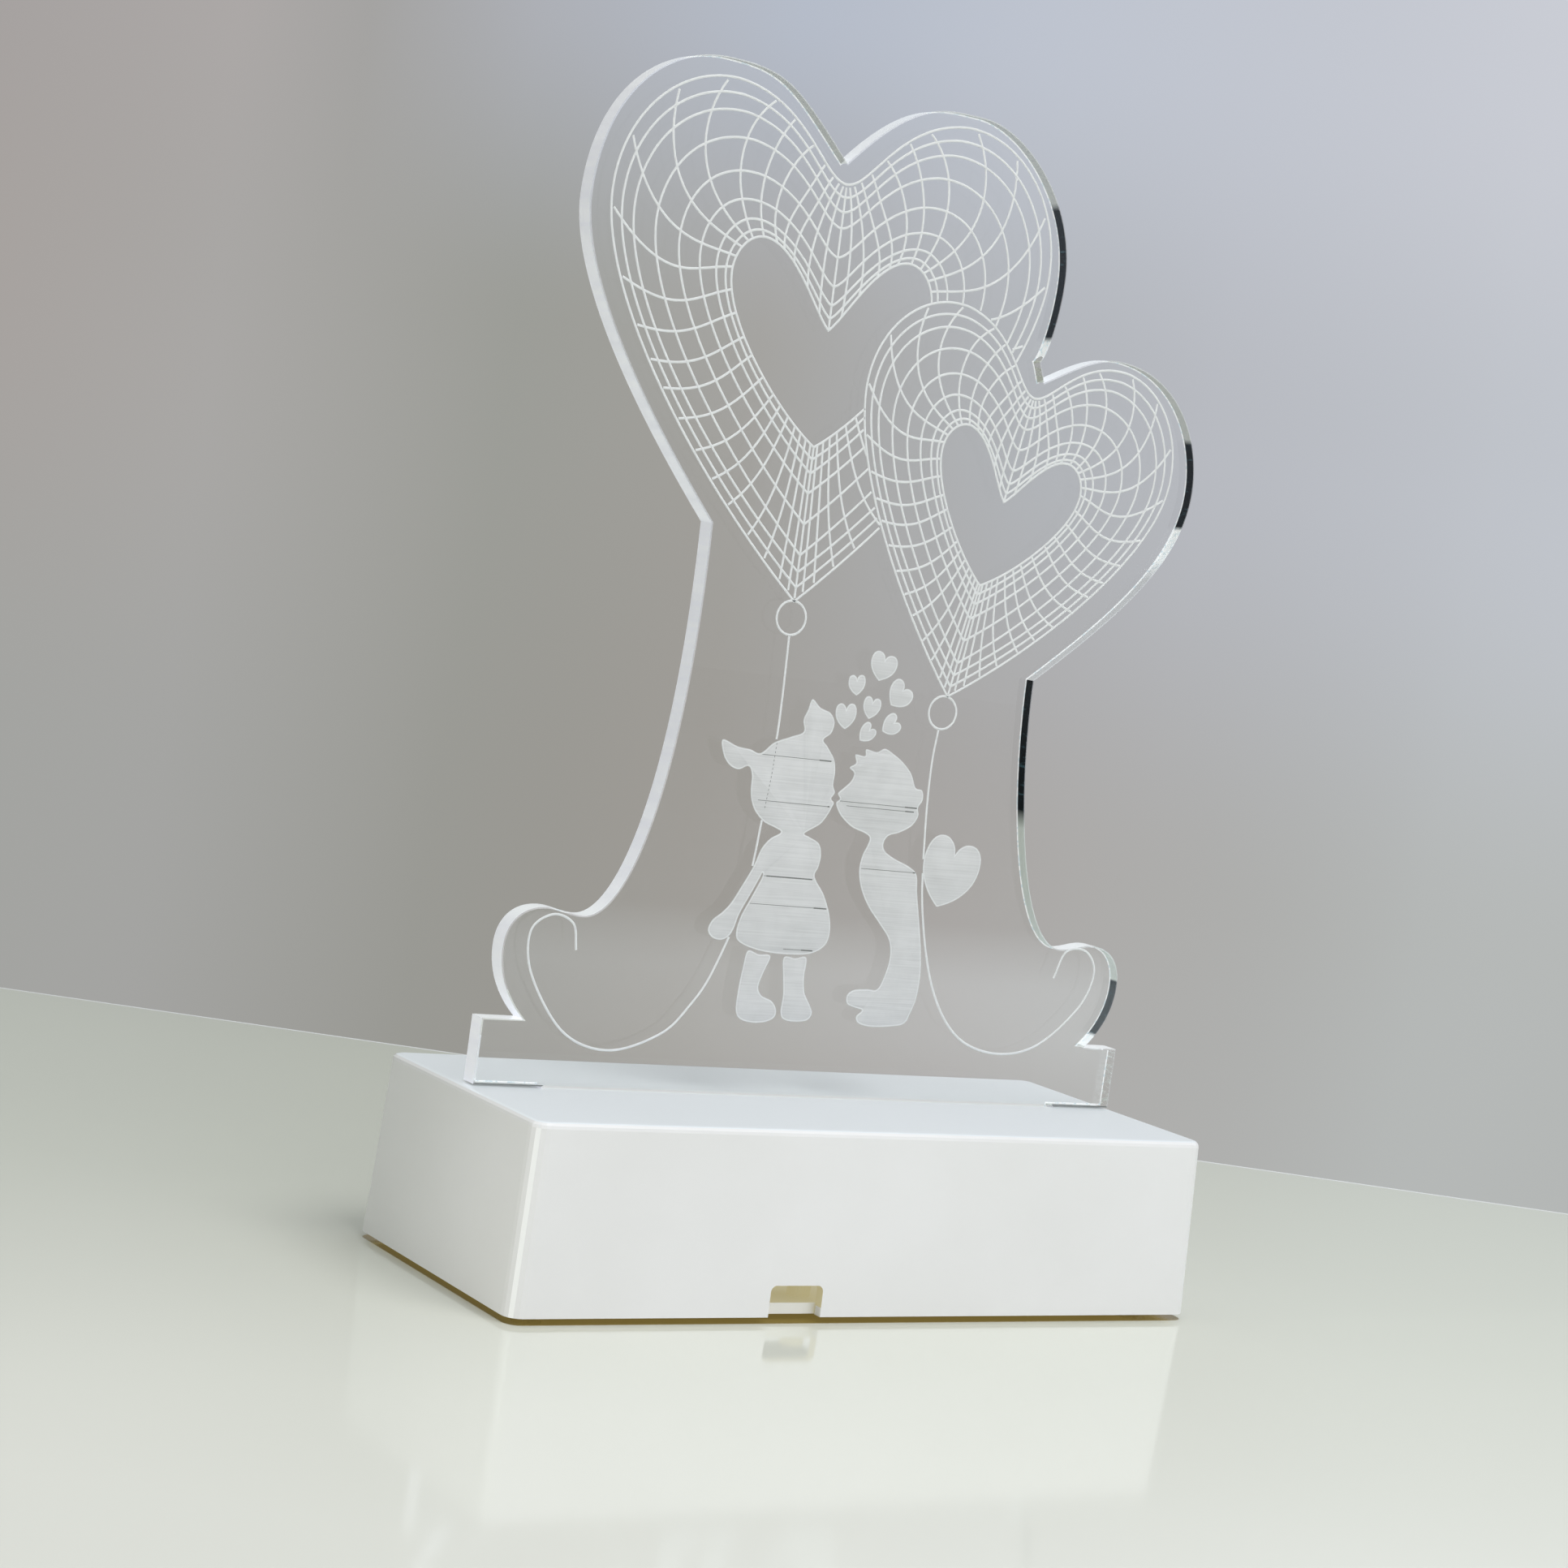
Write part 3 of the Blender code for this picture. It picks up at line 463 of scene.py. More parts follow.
def cut_outside(t, place, level, turned, rim):
    """The cut edge from outside: bright with a painted glow, greyer on its flat tops as painted
    shade, with clear bevels.
    """
    streaks = t.noise(place, 320.0, 2.0, (1, 0.06, 1))
    tint = t.ramp(streaks, ((0.35, srgb(238, 239, 245)), (0.65, srgb(248, 249, 253))))
    # Painted glow: the edge gives off a little light of its own, and its flat tops are painted
    # greyer
    bright = t.principled({
        "Base Color": t.blend(t.span(turned, *FLAT_TOP), tint, srgb(226, 229, 226)),
        "Roughness": 0.22, "Emission Color": srgb(236, 237, 255), "Emission Strength": 0.17})
    edge = t.mix(rim, bright, t.mix(0.25, t.clear(EDGE_CLEAR), bright))
    # Painted shade: the shoulders' undersides, which lie in the shade of the gap above the base, are
    # grey
    shaded = t.multiply(
        t.maths("LESS_THAN", level, UNDERSIDE), t.maths("LESS_THAN", turned, UNDERSIDE_TURN))
    return t.mix(shaded, edge, t.matt(srgb(138, 141, 140)))


def cut_inside(t, place, level, turned, rim):
    """The cut edge seen through the sheet, as painted reflection: black where it faces aside, and
    lighter elsewhere.

    The normal is turned to face the ray, so it points down where the edge faces up. What the cut
    mirrors,
    which is painted, shifts with its height: "lean" is how far it faces up, less that shift.
    """
    clear = t.clear(EDGE_CLEAR)
    shift = t.maths("MULTIPLY_ADD", level, -LEAN_SHIFT, LEAN_SHIFT * LEAN_LEVEL)
    lean = t.maths("SUBTRACT", shift, turned)
    glints = t.noise(place, 1.0, 2.0, (160, 160, 1500))
    black = t.matt(t.ramp(glints, ((0.60, srgb(14, 28, 35)), (0.70, srgb(52, 78, 88)))))
    sparkle = t.noise(place, 1400.0, 1.0)
    # Painted highlight: the white tone glints, and glows a little
    white = t.principled({
        "Base Color": t.ramp(sparkle, ((0.38, srgb(190, 214, 226)), (0.48, srgb(244, 247, 250)))),
        "Roughness": 0.3, "Emission Color": WHITE, "Emission Strength": 0.25})
    high = t.span(level, *PALE_LEVELS)
    pale = t.matt(t.blend(high, srgb(229, 235, 231), srgb(200, 204, 190)))
    hazy = t.mix(t.maths("MULTIPLY_ADD", high, -0.50, 0.94), clear, pale)
    milky = t.mix(0.60, clear, t.matt(srgb(228, 230, 235)))
    inside = t.mix(t.span(lean, *BLACK_TO_WHITE), black, white)
    inside = t.mix(t.span(lean, *BLACK_TO_PALE), inside, hazy)
    inside = t.mix(t.span(lean, *WHITE_TO_MILKY), inside, milky)
    # The feet and the step between the hearts stay clear, with thin bars of painted reflection
    step = t.maths("LESS_THAN", t.measure("DISTANCE", place, HEARTS_STEP), STEP_REACH)
    foot = t.maths("MAXIMUM", t.maths("LESS_THAN", level, FOOT_LEVEL), step)
    bars = t.ramp(glints, ((0.46, BLACK), (0.60, (0.7, 0.7, 0.7, 1))))
    inside = t.mix(foot, inside, t.mix(bars, clear, pale))
    return t.mix(rim, inside, t.mix(0.7, clear, white))


def cut_edge():
    """The sheet's cut edge, which lets the lamps through."""
    made, t = new_material("acrylic_cut_edge")
    place = t.place()
    level = t.split(place)["Z"]
    geometry = t.add("ShaderNodeNewGeometry").outputs
    normal = t.split(geometry["Normal"])
    rim = t.maths("GREATER_THAN", t.maths("ABSOLUTE", normal["Y"]), RIM_TURN)
    outside = cut_outside(t, place, level, normal["Z"], rim)
    inside = cut_inside(t, place, level, normal["Z"], rim)
    shown = t.mix(geometry["Backfacing"], outside, inside)
    t.surface(t.mix(t.ray()["Is Shadow Ray"], shown, t.clear((0.9, 0.9, 0.9, 1))))
    return made


def shell_plastic():
    """White plastic, with painted light: the hollow glows faintly as if light came in, faces that
    look up are paler and bluer, and its corners carry a lighter painted highlight.
    """
    made, t = new_material("shell_plastic")
    place = t.place()
    spot = t.split(place)
    facing = t.split(t.add("ShaderNodeNewGeometry").outputs["Normal"])
    clouds = t.noise(place, SHELL_CLOUDS, 4.0)
    tint = t.ramp(clouds, ((0.3, srgb(229, 229, 229)), (0.7, srgb(234, 234, 235))))
    # Painted light: faces that look up are paler and bluer
    tint = t.blend(t.maths("GREATER_THAN", facing["Z"], BASE_TOP_TURN), tint, srgb(233, 238, 242))
    # Painted highlight: upright corners are lighter
    corner = t.maths("ABSOLUTE", t.multiply(facing["X"], facing["Y"]))
    tint = t.blend(t.span(corner, *CORNER_LINE), tint, srgb(250, 251, 251))
    # Painted glow inside the hollow, and on the notch's own walls above the cover
    room = t.multiply(
        t.maths("LESS_THAN", t.maths("ABSOLUTE", spot["X"]), HOLLOW.x),
        t.maths("LESS_THAN", t.maths("ABSOLUTE", spot["Y"]), HOLLOW.y),
        t.maths("LESS_THAN", spot["Z"], HOLLOW.z))
    aside = t.maths("ABSOLUTE", t.maths("SUBTRACT", spot["X"], NOTCH_MIDDLE))
    notch = t.multiply(
        t.maths("GREATER_THAN", spot["Y"], 0.0),
        t.maths("LESS_THAN", facing["Y"], NOTCH_WALL_TURN),
        t.maths("LESS_THAN", spot["Z"], NOTCH_ROOF),
        t.maths("GREATER_THAN", spot["Z"], COVER_GLOW_LEVEL),
        t.maths("LESS_THAN", aside, NOTCH_HALF))
    room = t.maths("MAXIMUM", room, notch)
    by_slot = t.maths("GREATER_THAN", spot["Z"], SLOT_GLOW_LEVEL)
    light = t.blend(by_slot, HOLLOW_GLOW, srgb(246, 250, 252))
    fine = t.noise(place, 3000.0, 2.0)
    shader = t.principled({
        "Base Color": tint,
        "Roughness": t.maths("MULTIPLY_ADD", clouds, SHELL_GLOSS_VARY, SHELL_GLOSS),
        "Coat Weight": 0.2, "Coat Roughness": 0.15, "Normal": t.bump(fine, 0.01)})
    t.surface(t.mix(t.multiply(room, GLOW_SHARE), shader, t.glow(light, GLOW_STRENGTH)))
    return made


def cover_plastic():
    """The bottom cover: white outside, and its upper side glowing with the shell's painted glow."""
    made, t = new_material("cover_plastic")
    place = t.place()
    spot = t.split(place)
    clouds = t.noise(place, MOULDED_CLOUDS, 4.0)
    shader = t.principled({
        "Base Color": t.ramp(clouds, ((0.3, srgb(240, 240, 237)), (0.7, srgb(247, 247, 244)))),
        "Roughness": t.maths("MULTIPLY_ADD", clouds, GLOSS_VARY, COVER_GLOSS),
        "Normal": t.bump(t.noise(place, 2500.0, 2.0), 0.03)})
    # Painted glow on the cover's upper side, in the shell's hollow
    upper = t.multiply(
        t.maths("LESS_THAN", t.maths("ABSOLUTE", spot["Y"]), COVER_GLOW_HALF),
        t.maths("GREATER_THAN", spot["Z"], COVER_GLOW_LEVEL))
    t.surface(t.mix(t.multiply(upper, GLOW_SHARE), shader, t.glow(HOLLOW_GLOW, GLOW_STRENGTH)))
    return made


def frosted(name, colour, streaks, solid):
    """Engraved lines and areas: frosted white, with the cutter's fine level passes."""
    made, t = new_material(name)
    place = t.place()
    passes = t.noise(place, 1.0, 2.0, (60, 1, 3300))
    height = t.maths("MULTIPLY_ADD", t.noise(place, 260.0, 3.0), 0.5, passes)
    darker = tuple(channel * (1 - streaks) for channel in colour[:3]) + (1.0,)
    lighter = t.ramp(height, ((0.45, darker), (0.9, colour)))
    ridges = t.bump(height, 0.3, 0.1 * MM)
    matt = t.principled({"Base Color": lighter, "Roughness": 0.6, "Normal": ridges})
    cloudy = t.add("ShaderNodeBsdfTranslucent", {"Color": lighter}).outputs[0]
    t.surface(t.mix(solid, t.clear(), t.mix(FROST_THROUGH, matt, cloudy)))
    return made


def add_object(name, mesh_data, materials, body, crease):
    """Turn a bmesh into a piece with outward faces that rides on a body."""
    bmesh.ops.recalc_face_normals(mesh_data, faces=mesh_data.faces)
    mesh = bpy.data.meshes.new(name)
    mesh_data.to_mesh(mesh)
    mesh_data.free()
    mesh.shade_smooth()
    mesh.set_sharp_from_angle(angle=math.radians(crease))
    for surface in materials:
        mesh.materials.append(surface)
    obj = bpy.data.objects.new(name, mesh)
    bpy.context.scene.collection.objects.link(obj)
    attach(obj, body)
    return obj


def add_engraving(name, mesh_data, surface):
    add_object(name, mesh_data, (surface,), "panel", LINE_CREASE)


def cubic_chain(start, rows, steps=CURVE_STEPS):
    """Points along joined cubic curves, without the start point."""
    points = []
    begin = Vector(start)
    for first, second, end in rows:
        first, second, end = Vector(first), Vector(second), Vector(end)
        for step in range(1, steps + 1):
            t = step / steps
            s = 1 - t
            handles = 3 * s * s * t * first + 3 * s * t * t * second
            points.append(s**3 * begin + handles + t**3 * end)
        begin = end
    return points


def mirrored(shares):
    """The same rows on the panel's other side."""
    return tuple(tuple((-across, up) for across, up in row) for row in shares)


def side_lift(scroll, neck):
    """One side of the panel's edge in shares, from the foot's outer corner up to the waist."""
    sign = 1 if scroll[0][0][0] > 0 else -1
    tip = (sign * NOTCH_TIP_SHARE[0], NOTCH_TIP_SHARE[1])
    points = [Vector((sign, 0)), Vector((sign, FOOT_STEP_SHARE)), Vector(tip)]
    return points + cubic_chain(tip, scroll + neck)


def panel_outline():
    """The panel's edge as (x, z), counter-clockwise seen from the front."""
    large_side = side_lift(SCROLL_SHARES, LARGE_NECK_SHARES)
    small_side = side_lift(mirrored(SCROLL_SHARES), SMALL_NECK_SHARES)
    top = cubic_chain(large_side[-1], LARGE_HEART_SHARES + SMALL_HEART_SHARES)
    shares = large_side + top + small_side[-2::-1]
    edge = [Vector((PANEL_MIDDLE_X + PANEL_HALF_LENGTH * share.x, SHOULDER + PANEL_RISE * share.y))
            for share in shares]
    left, right = PANEL_MIDDLE_X - TAB_HALF_LENGTH, PANEL_MIDDLE_X + TAB_HALF_LENGTH
    tab = ((left, SHOULDER), (left, PANEL_LOW.z), (right, PANEL_LOW.z), (right, SHOULDER))
    return edge + [Vector(point) for point in tab]


def inset(points, distance):
    """A closed line moved inwards, where its inside lies to the left. Sharp corners move less."""
    moved = []
    for index, point in enumerate(points):
        before = (point - points[index - 1]).normalized()
        after = (points[(index + 1) % len(points)] - point).normalized()
        first, second = Vector((-before.y, before.x)), Vector((-after.y, after.x))
        middle = (first + second).normalized()
        reach = min(distance / max(middle.dot(first), INSET_MITRE), 2 * distance)
        moved.append(point + middle * reach)
    return moved


def skin(mesh_data, lower, upper, index=0):
    """Join two equal loops of vertices with a band of faces."""
    count = len(lower)
    for place in range(count):
        after = (place + 1) % count
        face = mesh_data.faces.new((lower[place], lower[after], upper[after], upper[place]))
        face.material_index = index


def make_panel(clear, edge):
    """The acrylic sheet, with a fine bevel along both faces."""
    outline = panel_outline()
    smaller = inset(outline, SHEET_BEVEL)
    rings = (
        (smaller, SHEET_FRONT), (outline, SHEET_FRONT + BEVEL_DEPTH),
        (outline, SHEET_REAR - BEVEL_DEPTH), (smaller, SHEET_REAR),
    )
    mesh_data = bmesh.new()
    loops = [[mesh_data.verts.new((point.x, y, point.y)) for point in ring] for ring, y in rings]
    for lower, upper in zip(loops, loops[1:]):
        skin(mesh_data, lower, upper, 1)
    for loop in (loops[0], loops[-1]):
        mesh_data.faces.new(loop)
    sheet = add_object(
        "clear_panel", mesh_data, (clear, edge), "panel", SHEET_CREASE)
    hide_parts("acrylic_panel")


def add_vertex(mesh_data, point, lift):
    """A vertex over the sheet's rear face, at a point (across, up)."""
    return mesh_data.verts.new((-point.x, SHEET_REAR + lift, point.y))


def add_ribbon(mesh_data, points, closed=False, half_width=LINE_HALF_WIDTH, lower=0.0):
    """A raised frosted line along points (across, up) in metres, as a closed body.

    "Lower" takes its top down and its underside up, so that lines that cross share no face.
    """
    top, sink = LINE_LIFT - lower, lower - LINE_SINK
    profile = ((-1, sink), (-LINE_TOP, top), (LINE_TOP, top), (1, sink))
    loops = []
    count = len(points)
    for index, point in enumerate(points):
        before = points[index - 1] if closed or index else point
        after = points[(index + 1) % count] if closed or index < count - 1 else point
        first, second = point - before, after - point
        first = first.normalized() if first.length else second.normalized()
        second = second.normalized() if second.length else first
        along = (first + second).normalized()
        aside = Vector((-along.y, along.x))
        aside = aside * half_width / max(aside.dot(Vector((-first.y, first.x))), RIBBON_MITRE)
        loops.append([
            add_vertex(mesh_data, point + aside * share, lift) for share, lift in profile])
    for lower_loop, upper_loop in zip(loops, loops[1:] + loops[:1] if closed else loops[1:]):
        skin(mesh_data, lower_loop, upper_loop)
    if not closed:
        mesh_data.faces.new(loops[0])
        mesh_data.faces.new(loops[-1])


def add_plate(mesh_data, points):
    """A filled frosted area inside a closed line of points (across, up), with a bevelled top."""
    top = inset(points, PLATE_BEVEL)
    rings = ((points, -LINE_SINK), (points, LINE_LIFT * PLATE_SIDE), (top, LINE_LIFT))
    loops = [[add_vertex(mesh_data, point, lift) for point in ring] for ring, lift in rings]
    for lower, upper in zip(loops, loops[1:]):
        skin(mesh_data, lower, upper)
    mesh_data.faces.new(loops[0])
    mesh_data.faces.new(loops[-1])


def spread(points):
    """A function from a share of a line's length to a place on it."""
    lengths = [0.0]
    for before, after in zip(points, points[1:]):
        lengths.append(lengths[-1] + (after - before).length)
    total = lengths[-1]

    def place(share):
        target = min(max(share, 0), 1) * total
        last = len(lengths) - 1
        high = next((index for index, length in enumerate(lengths) if length > target), last)
        low = high - 1
        span = lengths[high] - lengths[low]
        part = (target - lengths[low]) / span if span else 0
        return points[low].lerp(points[high], part)
    return place


def heart_half(rows):
    """Half a heart's outline from its notch to its tip."""
    start, *curves = rows
    return [Vector(start)] + cubic_chain(start, curves, NET_CURVE_STEPS)


def net_lines(tip, notch):
    """The rings and spokes of one heart net, in metres, as (points, closed)."""
    tip, notch = Vector(tip) * MM, Vector(notch) * MM
    axis = notch - tip
    aside = Vector((axis.y, -axis.x))
    outer, inner = spread(heart_half(NET_OUTER)), spread(heart_half(NET_INNER))

    def place(side, share, depth):
        shares = outer(share).lerp(inner(share), depth)
        return tip + axis * shares.y + aside * shares.x * side

    def ring_place(side, share, depths):
        wide = math.sin(math.pi * share)
        return place(side, share, depths[0] * (1 - wide) + depths[1] * wide)

    lines = []
    for depths in NET_RINGS:
        half = [ring_place(1, step / RING_STEPS, depths) for step in range(RING_STEPS + 1)]
        other = [ring_place(-1, step / RING_STEPS, depths) for step in range(RING_STEPS - 1, 0, -1)]
        lines.append((half + other, True))
    spokes = [(1, 0.0, 0.0, 0.0), (1, 1.0, 1.0, 0.0)]
    spokes += [(side, *row) for side in (1, -1) for row in NET_SPOKES]
    for side, start, end, bow in spokes:
        spoke = []
        for step in range(SPOKE_STEPS + 1):
            depth = SPOKE_START + (1 - SPOKE_START) * step / SPOKE_STEPS
            share = start + (end - start) * depth + bow * math.sin(math.pi * depth)
            spoke.append(place(side, share, depth))
        lines.append((spoke, False))
    return lines


def within(point, polygon):
    """Whether a point is inside a closed line."""
    found = False
    for first, second in zip(polygon, polygon[1:] + polygon[:1]):
        if (first.y > point.y) != (second.y > point.y):
            cross = first.x + (point.y - first.y) / (second.y - first.y) * (second.x - first.x)
            if point.x < cross:
                found = not found
    return found


def pieces_outside(points, closed, polygon):
    """The runs of a line that lie outside a closed line."""
    line = points + points[:1] if closed else points
    runs, run = [], []
    for point in line:
        if within(point, polygon):
            runs.append(run)
            run = []
        else:
            run.append(point)
    runs.append(run)
    if closed and len(runs) > 1:
        runs[0] = runs.pop() + runs[0][1:]
    return [(run, closed and len(runs) == 1) for run in runs if len(run) > 1]


def curve_point(a, b, c, d, t):
    """A place between b and c on the smooth curve through four points."""
    square, cube = 2 * a - 5 * b + 4 * c - d, 3 * b - a - 3 * c + d
    return 0.5 * (2 * b + (c - a) * t + square * t**2 + cube * t**3)


def smooth_line(points, steps):
    """A smooth line through points in millimetres."""
    points = [Vector(point) * MM for point in points]
    ends = [2 * points[0] - points[1]] + points + [2 * points[-1] - points[-2]]
    line = [points[0]]
    for four in zip(ends, ends[1:], ends[2:], ends[3:]):
        line += [curve_point(*four, step / steps) for step in range(1, steps + 1)]
    return line


def closed_line(points):
    """A smooth closed line through points in millimetres, counter-clockwise seen from behind."""
    points = [Vector(point) * MM for point in points]
    line = []
    for index in range(len(points)):
        four = [points[(index + place) % len(points)] for place in (-1, 0, 1, 2)]
        line += [curve_point(*four, step / FIGURE_STEPS) for step in range(FIGURE_STEPS)]
    pairs = zip(line, line[1:] + line[:1])
    area = sum(first.x * second.y - second.x * first.y for first, second in pairs)
    return line if area > 0 else line[::-1]


def heart_outline(across, up, width, height, turn):
    """A small plain heart, sized in millimetres round its middle and turned by degrees."""
    notch = (0, 0.28)
    rows = (((0.05, 0.55), (0.50, 0.62), (0.50, 0.16)), ((0.50, -0.18), (0.20, -0.40), (0, -0.50)))
    half = [Vector(notch)] + cubic_chain(notch, rows, HEART_CURVE_STEPS)
    other = [Vector((-point.x, point.y)) for point in half[-2:0:-1]]
    turned = Matrix.Rotation(math.radians(turn), 2)
    middle = Vector((across, up))
    line = [Vector((point.x * width, point.y * height)) for point in half + other]
    return [(middle + turned @ point) * MM for point in line[::-1]]


def make_nets(surface):
    """The two heart nets: the small one hides what lies under it of the large one."""
    large, small = net_lines(*LARGE_NET), net_lines(*SMALL_NET)
    small_edge = small[0][0]
    mesh_data = bmesh.new()
    for points, closed in large:
        for run, whole in pieces_outside(points, closed, small_edge):
            add_ribbon(mesh_data, run, whole, lower=0 if closed else SPOKE_DROP)
    add_engraving("net_large", mesh_data, surface)
    mesh_data = bmesh.new()
    for points, closed in small:
        add_ribbon(mesh_data, points, closed, lower=0 if closed else SPOKE_DROP)
    add_engraving("net_small", mesh_data, surface)


def make_strings(surface, figures):
    """The nets' strings, which stop at the figures, and the loops that they hang from."""
    mesh_data = bmesh.new()
    for points in (LEFT_STRING, RIGHT_STRING):
        runs = [smooth_line(points, STRING_STEPS)]
        for figure in figures:
            runs = [part for run in runs for part, _ in pieces_outside(run, False, figure)]
        for run in runs:
            add_ribbon(mesh_data, run)
    for (across, up), radius in LOOPS:
        turns = [step * 2 * math.pi / LOOP_STEPS for step in range(LOOP_STEPS)]
        circle = [Vector((math.cos(turn), math.sin(turn))) * radius for turn in turns]
        add_ribbon(mesh_data, [(Vector((across, up)) + point) * MM for point in circle], True)
    add_engraving("strings", mesh_data, surface)


def make_figure(name, outlines, area, line):
    """A figure: each part filled, with a brighter contour."""
    fill, contour = bmesh.new(), bmesh.new()
    for points in outlines:
        add_plate(fill, points)
        add_ribbon(contour, inset(points, CONTOUR_INSET), True, CONTOUR_HALF_WIDTH, -CONTOUR_LIFT)
    add_engraving(name + "_fill", fill, area)
    add_engraving(name + "_contour", contour, line)


def make_skips(surface):
    """Thin dark marks where the cutter skipped a pass, and where a string runs under a figure."""
    mesh_data = bmesh.new()
    thin, broad = (value * MM for value in SKIP_HALF_WIDTHS)
    for start, end, up, broader in SKIPPED_LINES:
        for ends, half_width in (((start, broader), thin), ((broader, end), broad)):
            mark = [Vector((across, up)) * MM for across in ends]
            add_ribbon(mesh_data, mark, False, half_width, -SKIP_LIFT)
    path = smooth_line(CROSSING, CROSSING_DASHES)
    for first, second in zip(path[::2], path[1::2]):
        add_ribbon(mesh_data, [first, second], False, thin, -SKIP_LIFT)
    add_engraving("skipped_passes", mesh_data, surface)


def make_camera():
    """The photograph's camera."""
    data = bpy.data.cameras.new("camera")
    data.lens = CAMERA_LENS
    data.sensor_width = CAMERA_SENSOR
    data.clip_start = 0.01
    camera = bpy.data.objects.new("camera", data)
    bpy.context.scene.collection.objects.link(camera)
    forward = CAMERA_FORWARD.normalized()
    up = CAMERA_RIGHT.cross(forward).normalized()
    right = forward.cross(up)
    camera.matrix_world = Matrix((
        (right.x, up.x, -forward.x, CAMERA_PLACE.x),
        (right.y, up.y, -forward.y, CAMERA_PLACE.y),
        (right.z, up.z, -forward.z, CAMERA_PLACE.z),
        (0, 0, 0, 1)))
    bpy.context.scene.camera = camera


def add_plane(name, corners, surface):
    """A flat stage piece, which isn't part of the object."""
    mesh_data = bmesh.new()
    mesh_data.faces.new([mesh_data.verts.new(corner) for corner in corners])
    mesh = bpy.data.meshes.new(name)
    mesh_data.to_mesh(mesh)
    mesh_data.free()
    mesh.materials.append(surface)
    obj = bpy.data.objects.new(name, mesh)
    bpy.context.scene.collection.objects.link(obj)


def table_tone_and_painted_light(t, place):
    """The table's colour with painted light: paler towards the camera and its left."""
    near = t.measure("DOT_PRODUCT", place, WALL_NORMAL)
    clouds = t.noise(place, 5.0, 3.0)
    share = t.span(t.maths("MULTIPLY_ADD", clouds, 0.05, near), *TABLE_NEAR)
    tint = t.ramp(share, (
        (0.0, srgb(206, 209, 198)), (0.5, srgb(216, 218, 207)), (1.0, srgb(234, 234, 226))))
    lateral = t.span(t.measure("DOT_PRODUCT", place, WALL_ALONG), *TABLE_ASIDE)
    shade = t.ramp(lateral, (
        (0.0, (0.91, 0.91, 0.90, 1)), (0.6, WHITE), (1.0, (1.06, 1.06, 1.07, 1))))
    return t.blend(1.0, tint, shade, "MULTIPLY")


def floor_material():
    """A glossy pale table, with a painted brown shadow just under the base and painted reflections
    that only gloss sees.
    """
    made, t = new_material("table_top")
    place = t.place()
    tint = table_tone_and_painted_light(t, place)
    # Painted shadow under the base: a brown rounded rectangle of the base's own outline that glows a
    # little, darker at its ends
    spot = t.split(place)
    out_x = t.maths("SUBTRACT", t.maths("ABSOLUTE", spot["X"]), SHELL_HIGH.x - UNDER_RADIUS)
    out_y = t.maths("SUBTRACT", t.maths("ABSOLUTE", spot["Y"]), SHELL_HIGH.y - UNDER_RADIUS)
    corner = t.add("ShaderNodeCombineXYZ", {
        0: t.maths("MAXIMUM", out_x, 0.0), 1: t.maths("MAXIMUM", out_y, 0.0)}).outputs[0]
    beneath = t.span(t.measure("LENGTH", corner), UNDER_RADIUS, UNDER_RADIUS - UNDER_FADE)
    warm = t.blend(t.span(out_x, -1.0 * MM, UNDER_RADIUS), srgb(92, 79, 40), srgb(68, 60, 36))
    table = t.principled({
        "Base Color": t.blend(beneath, tint, srgb(96, 84, 48)), "Roughness": 0.09, "IOR": 1.5,
        "Emission Color": t.blend(beneath, BLACK, warm), "Emission Strength": 1.0})
    # Painted reflections that only gloss sees: a bright glowing part of the table behind the lamp,
    # and a dim room beyond its edge
    path = t.ray()
    only_gloss = t.maths("SUBTRACT", path["Is Glossy Ray"], path["Is Transmission Ray"])
    mirrored_ray = t.maths("MAXIMUM", only_gloss, 0.0)
    near, aside = t.span(spot["Y"], *GLARE_NEAR), t.span(spot["X"], *GLARE_ASIDE, *GLARE_STRENGTHS)
    glare = t.glow((0.80, 0.94, 1, 1), t.multiply(near, aside, mirrored_ray))
    table = t.add("ShaderNodeAddShader", {0: table, 1: glare}).outputs[0]
    dusk = t.glow(t.blend(t.span(spot["Y"], *DUSK_FAR), srgb(80, 58, 30), srgb(150, 144, 140)))
    t.surface(t.mix(t.multiply(mirrored_ray, t.span(spot["Y"], *MIRROR_EDGE)), table, dusk))
    return made


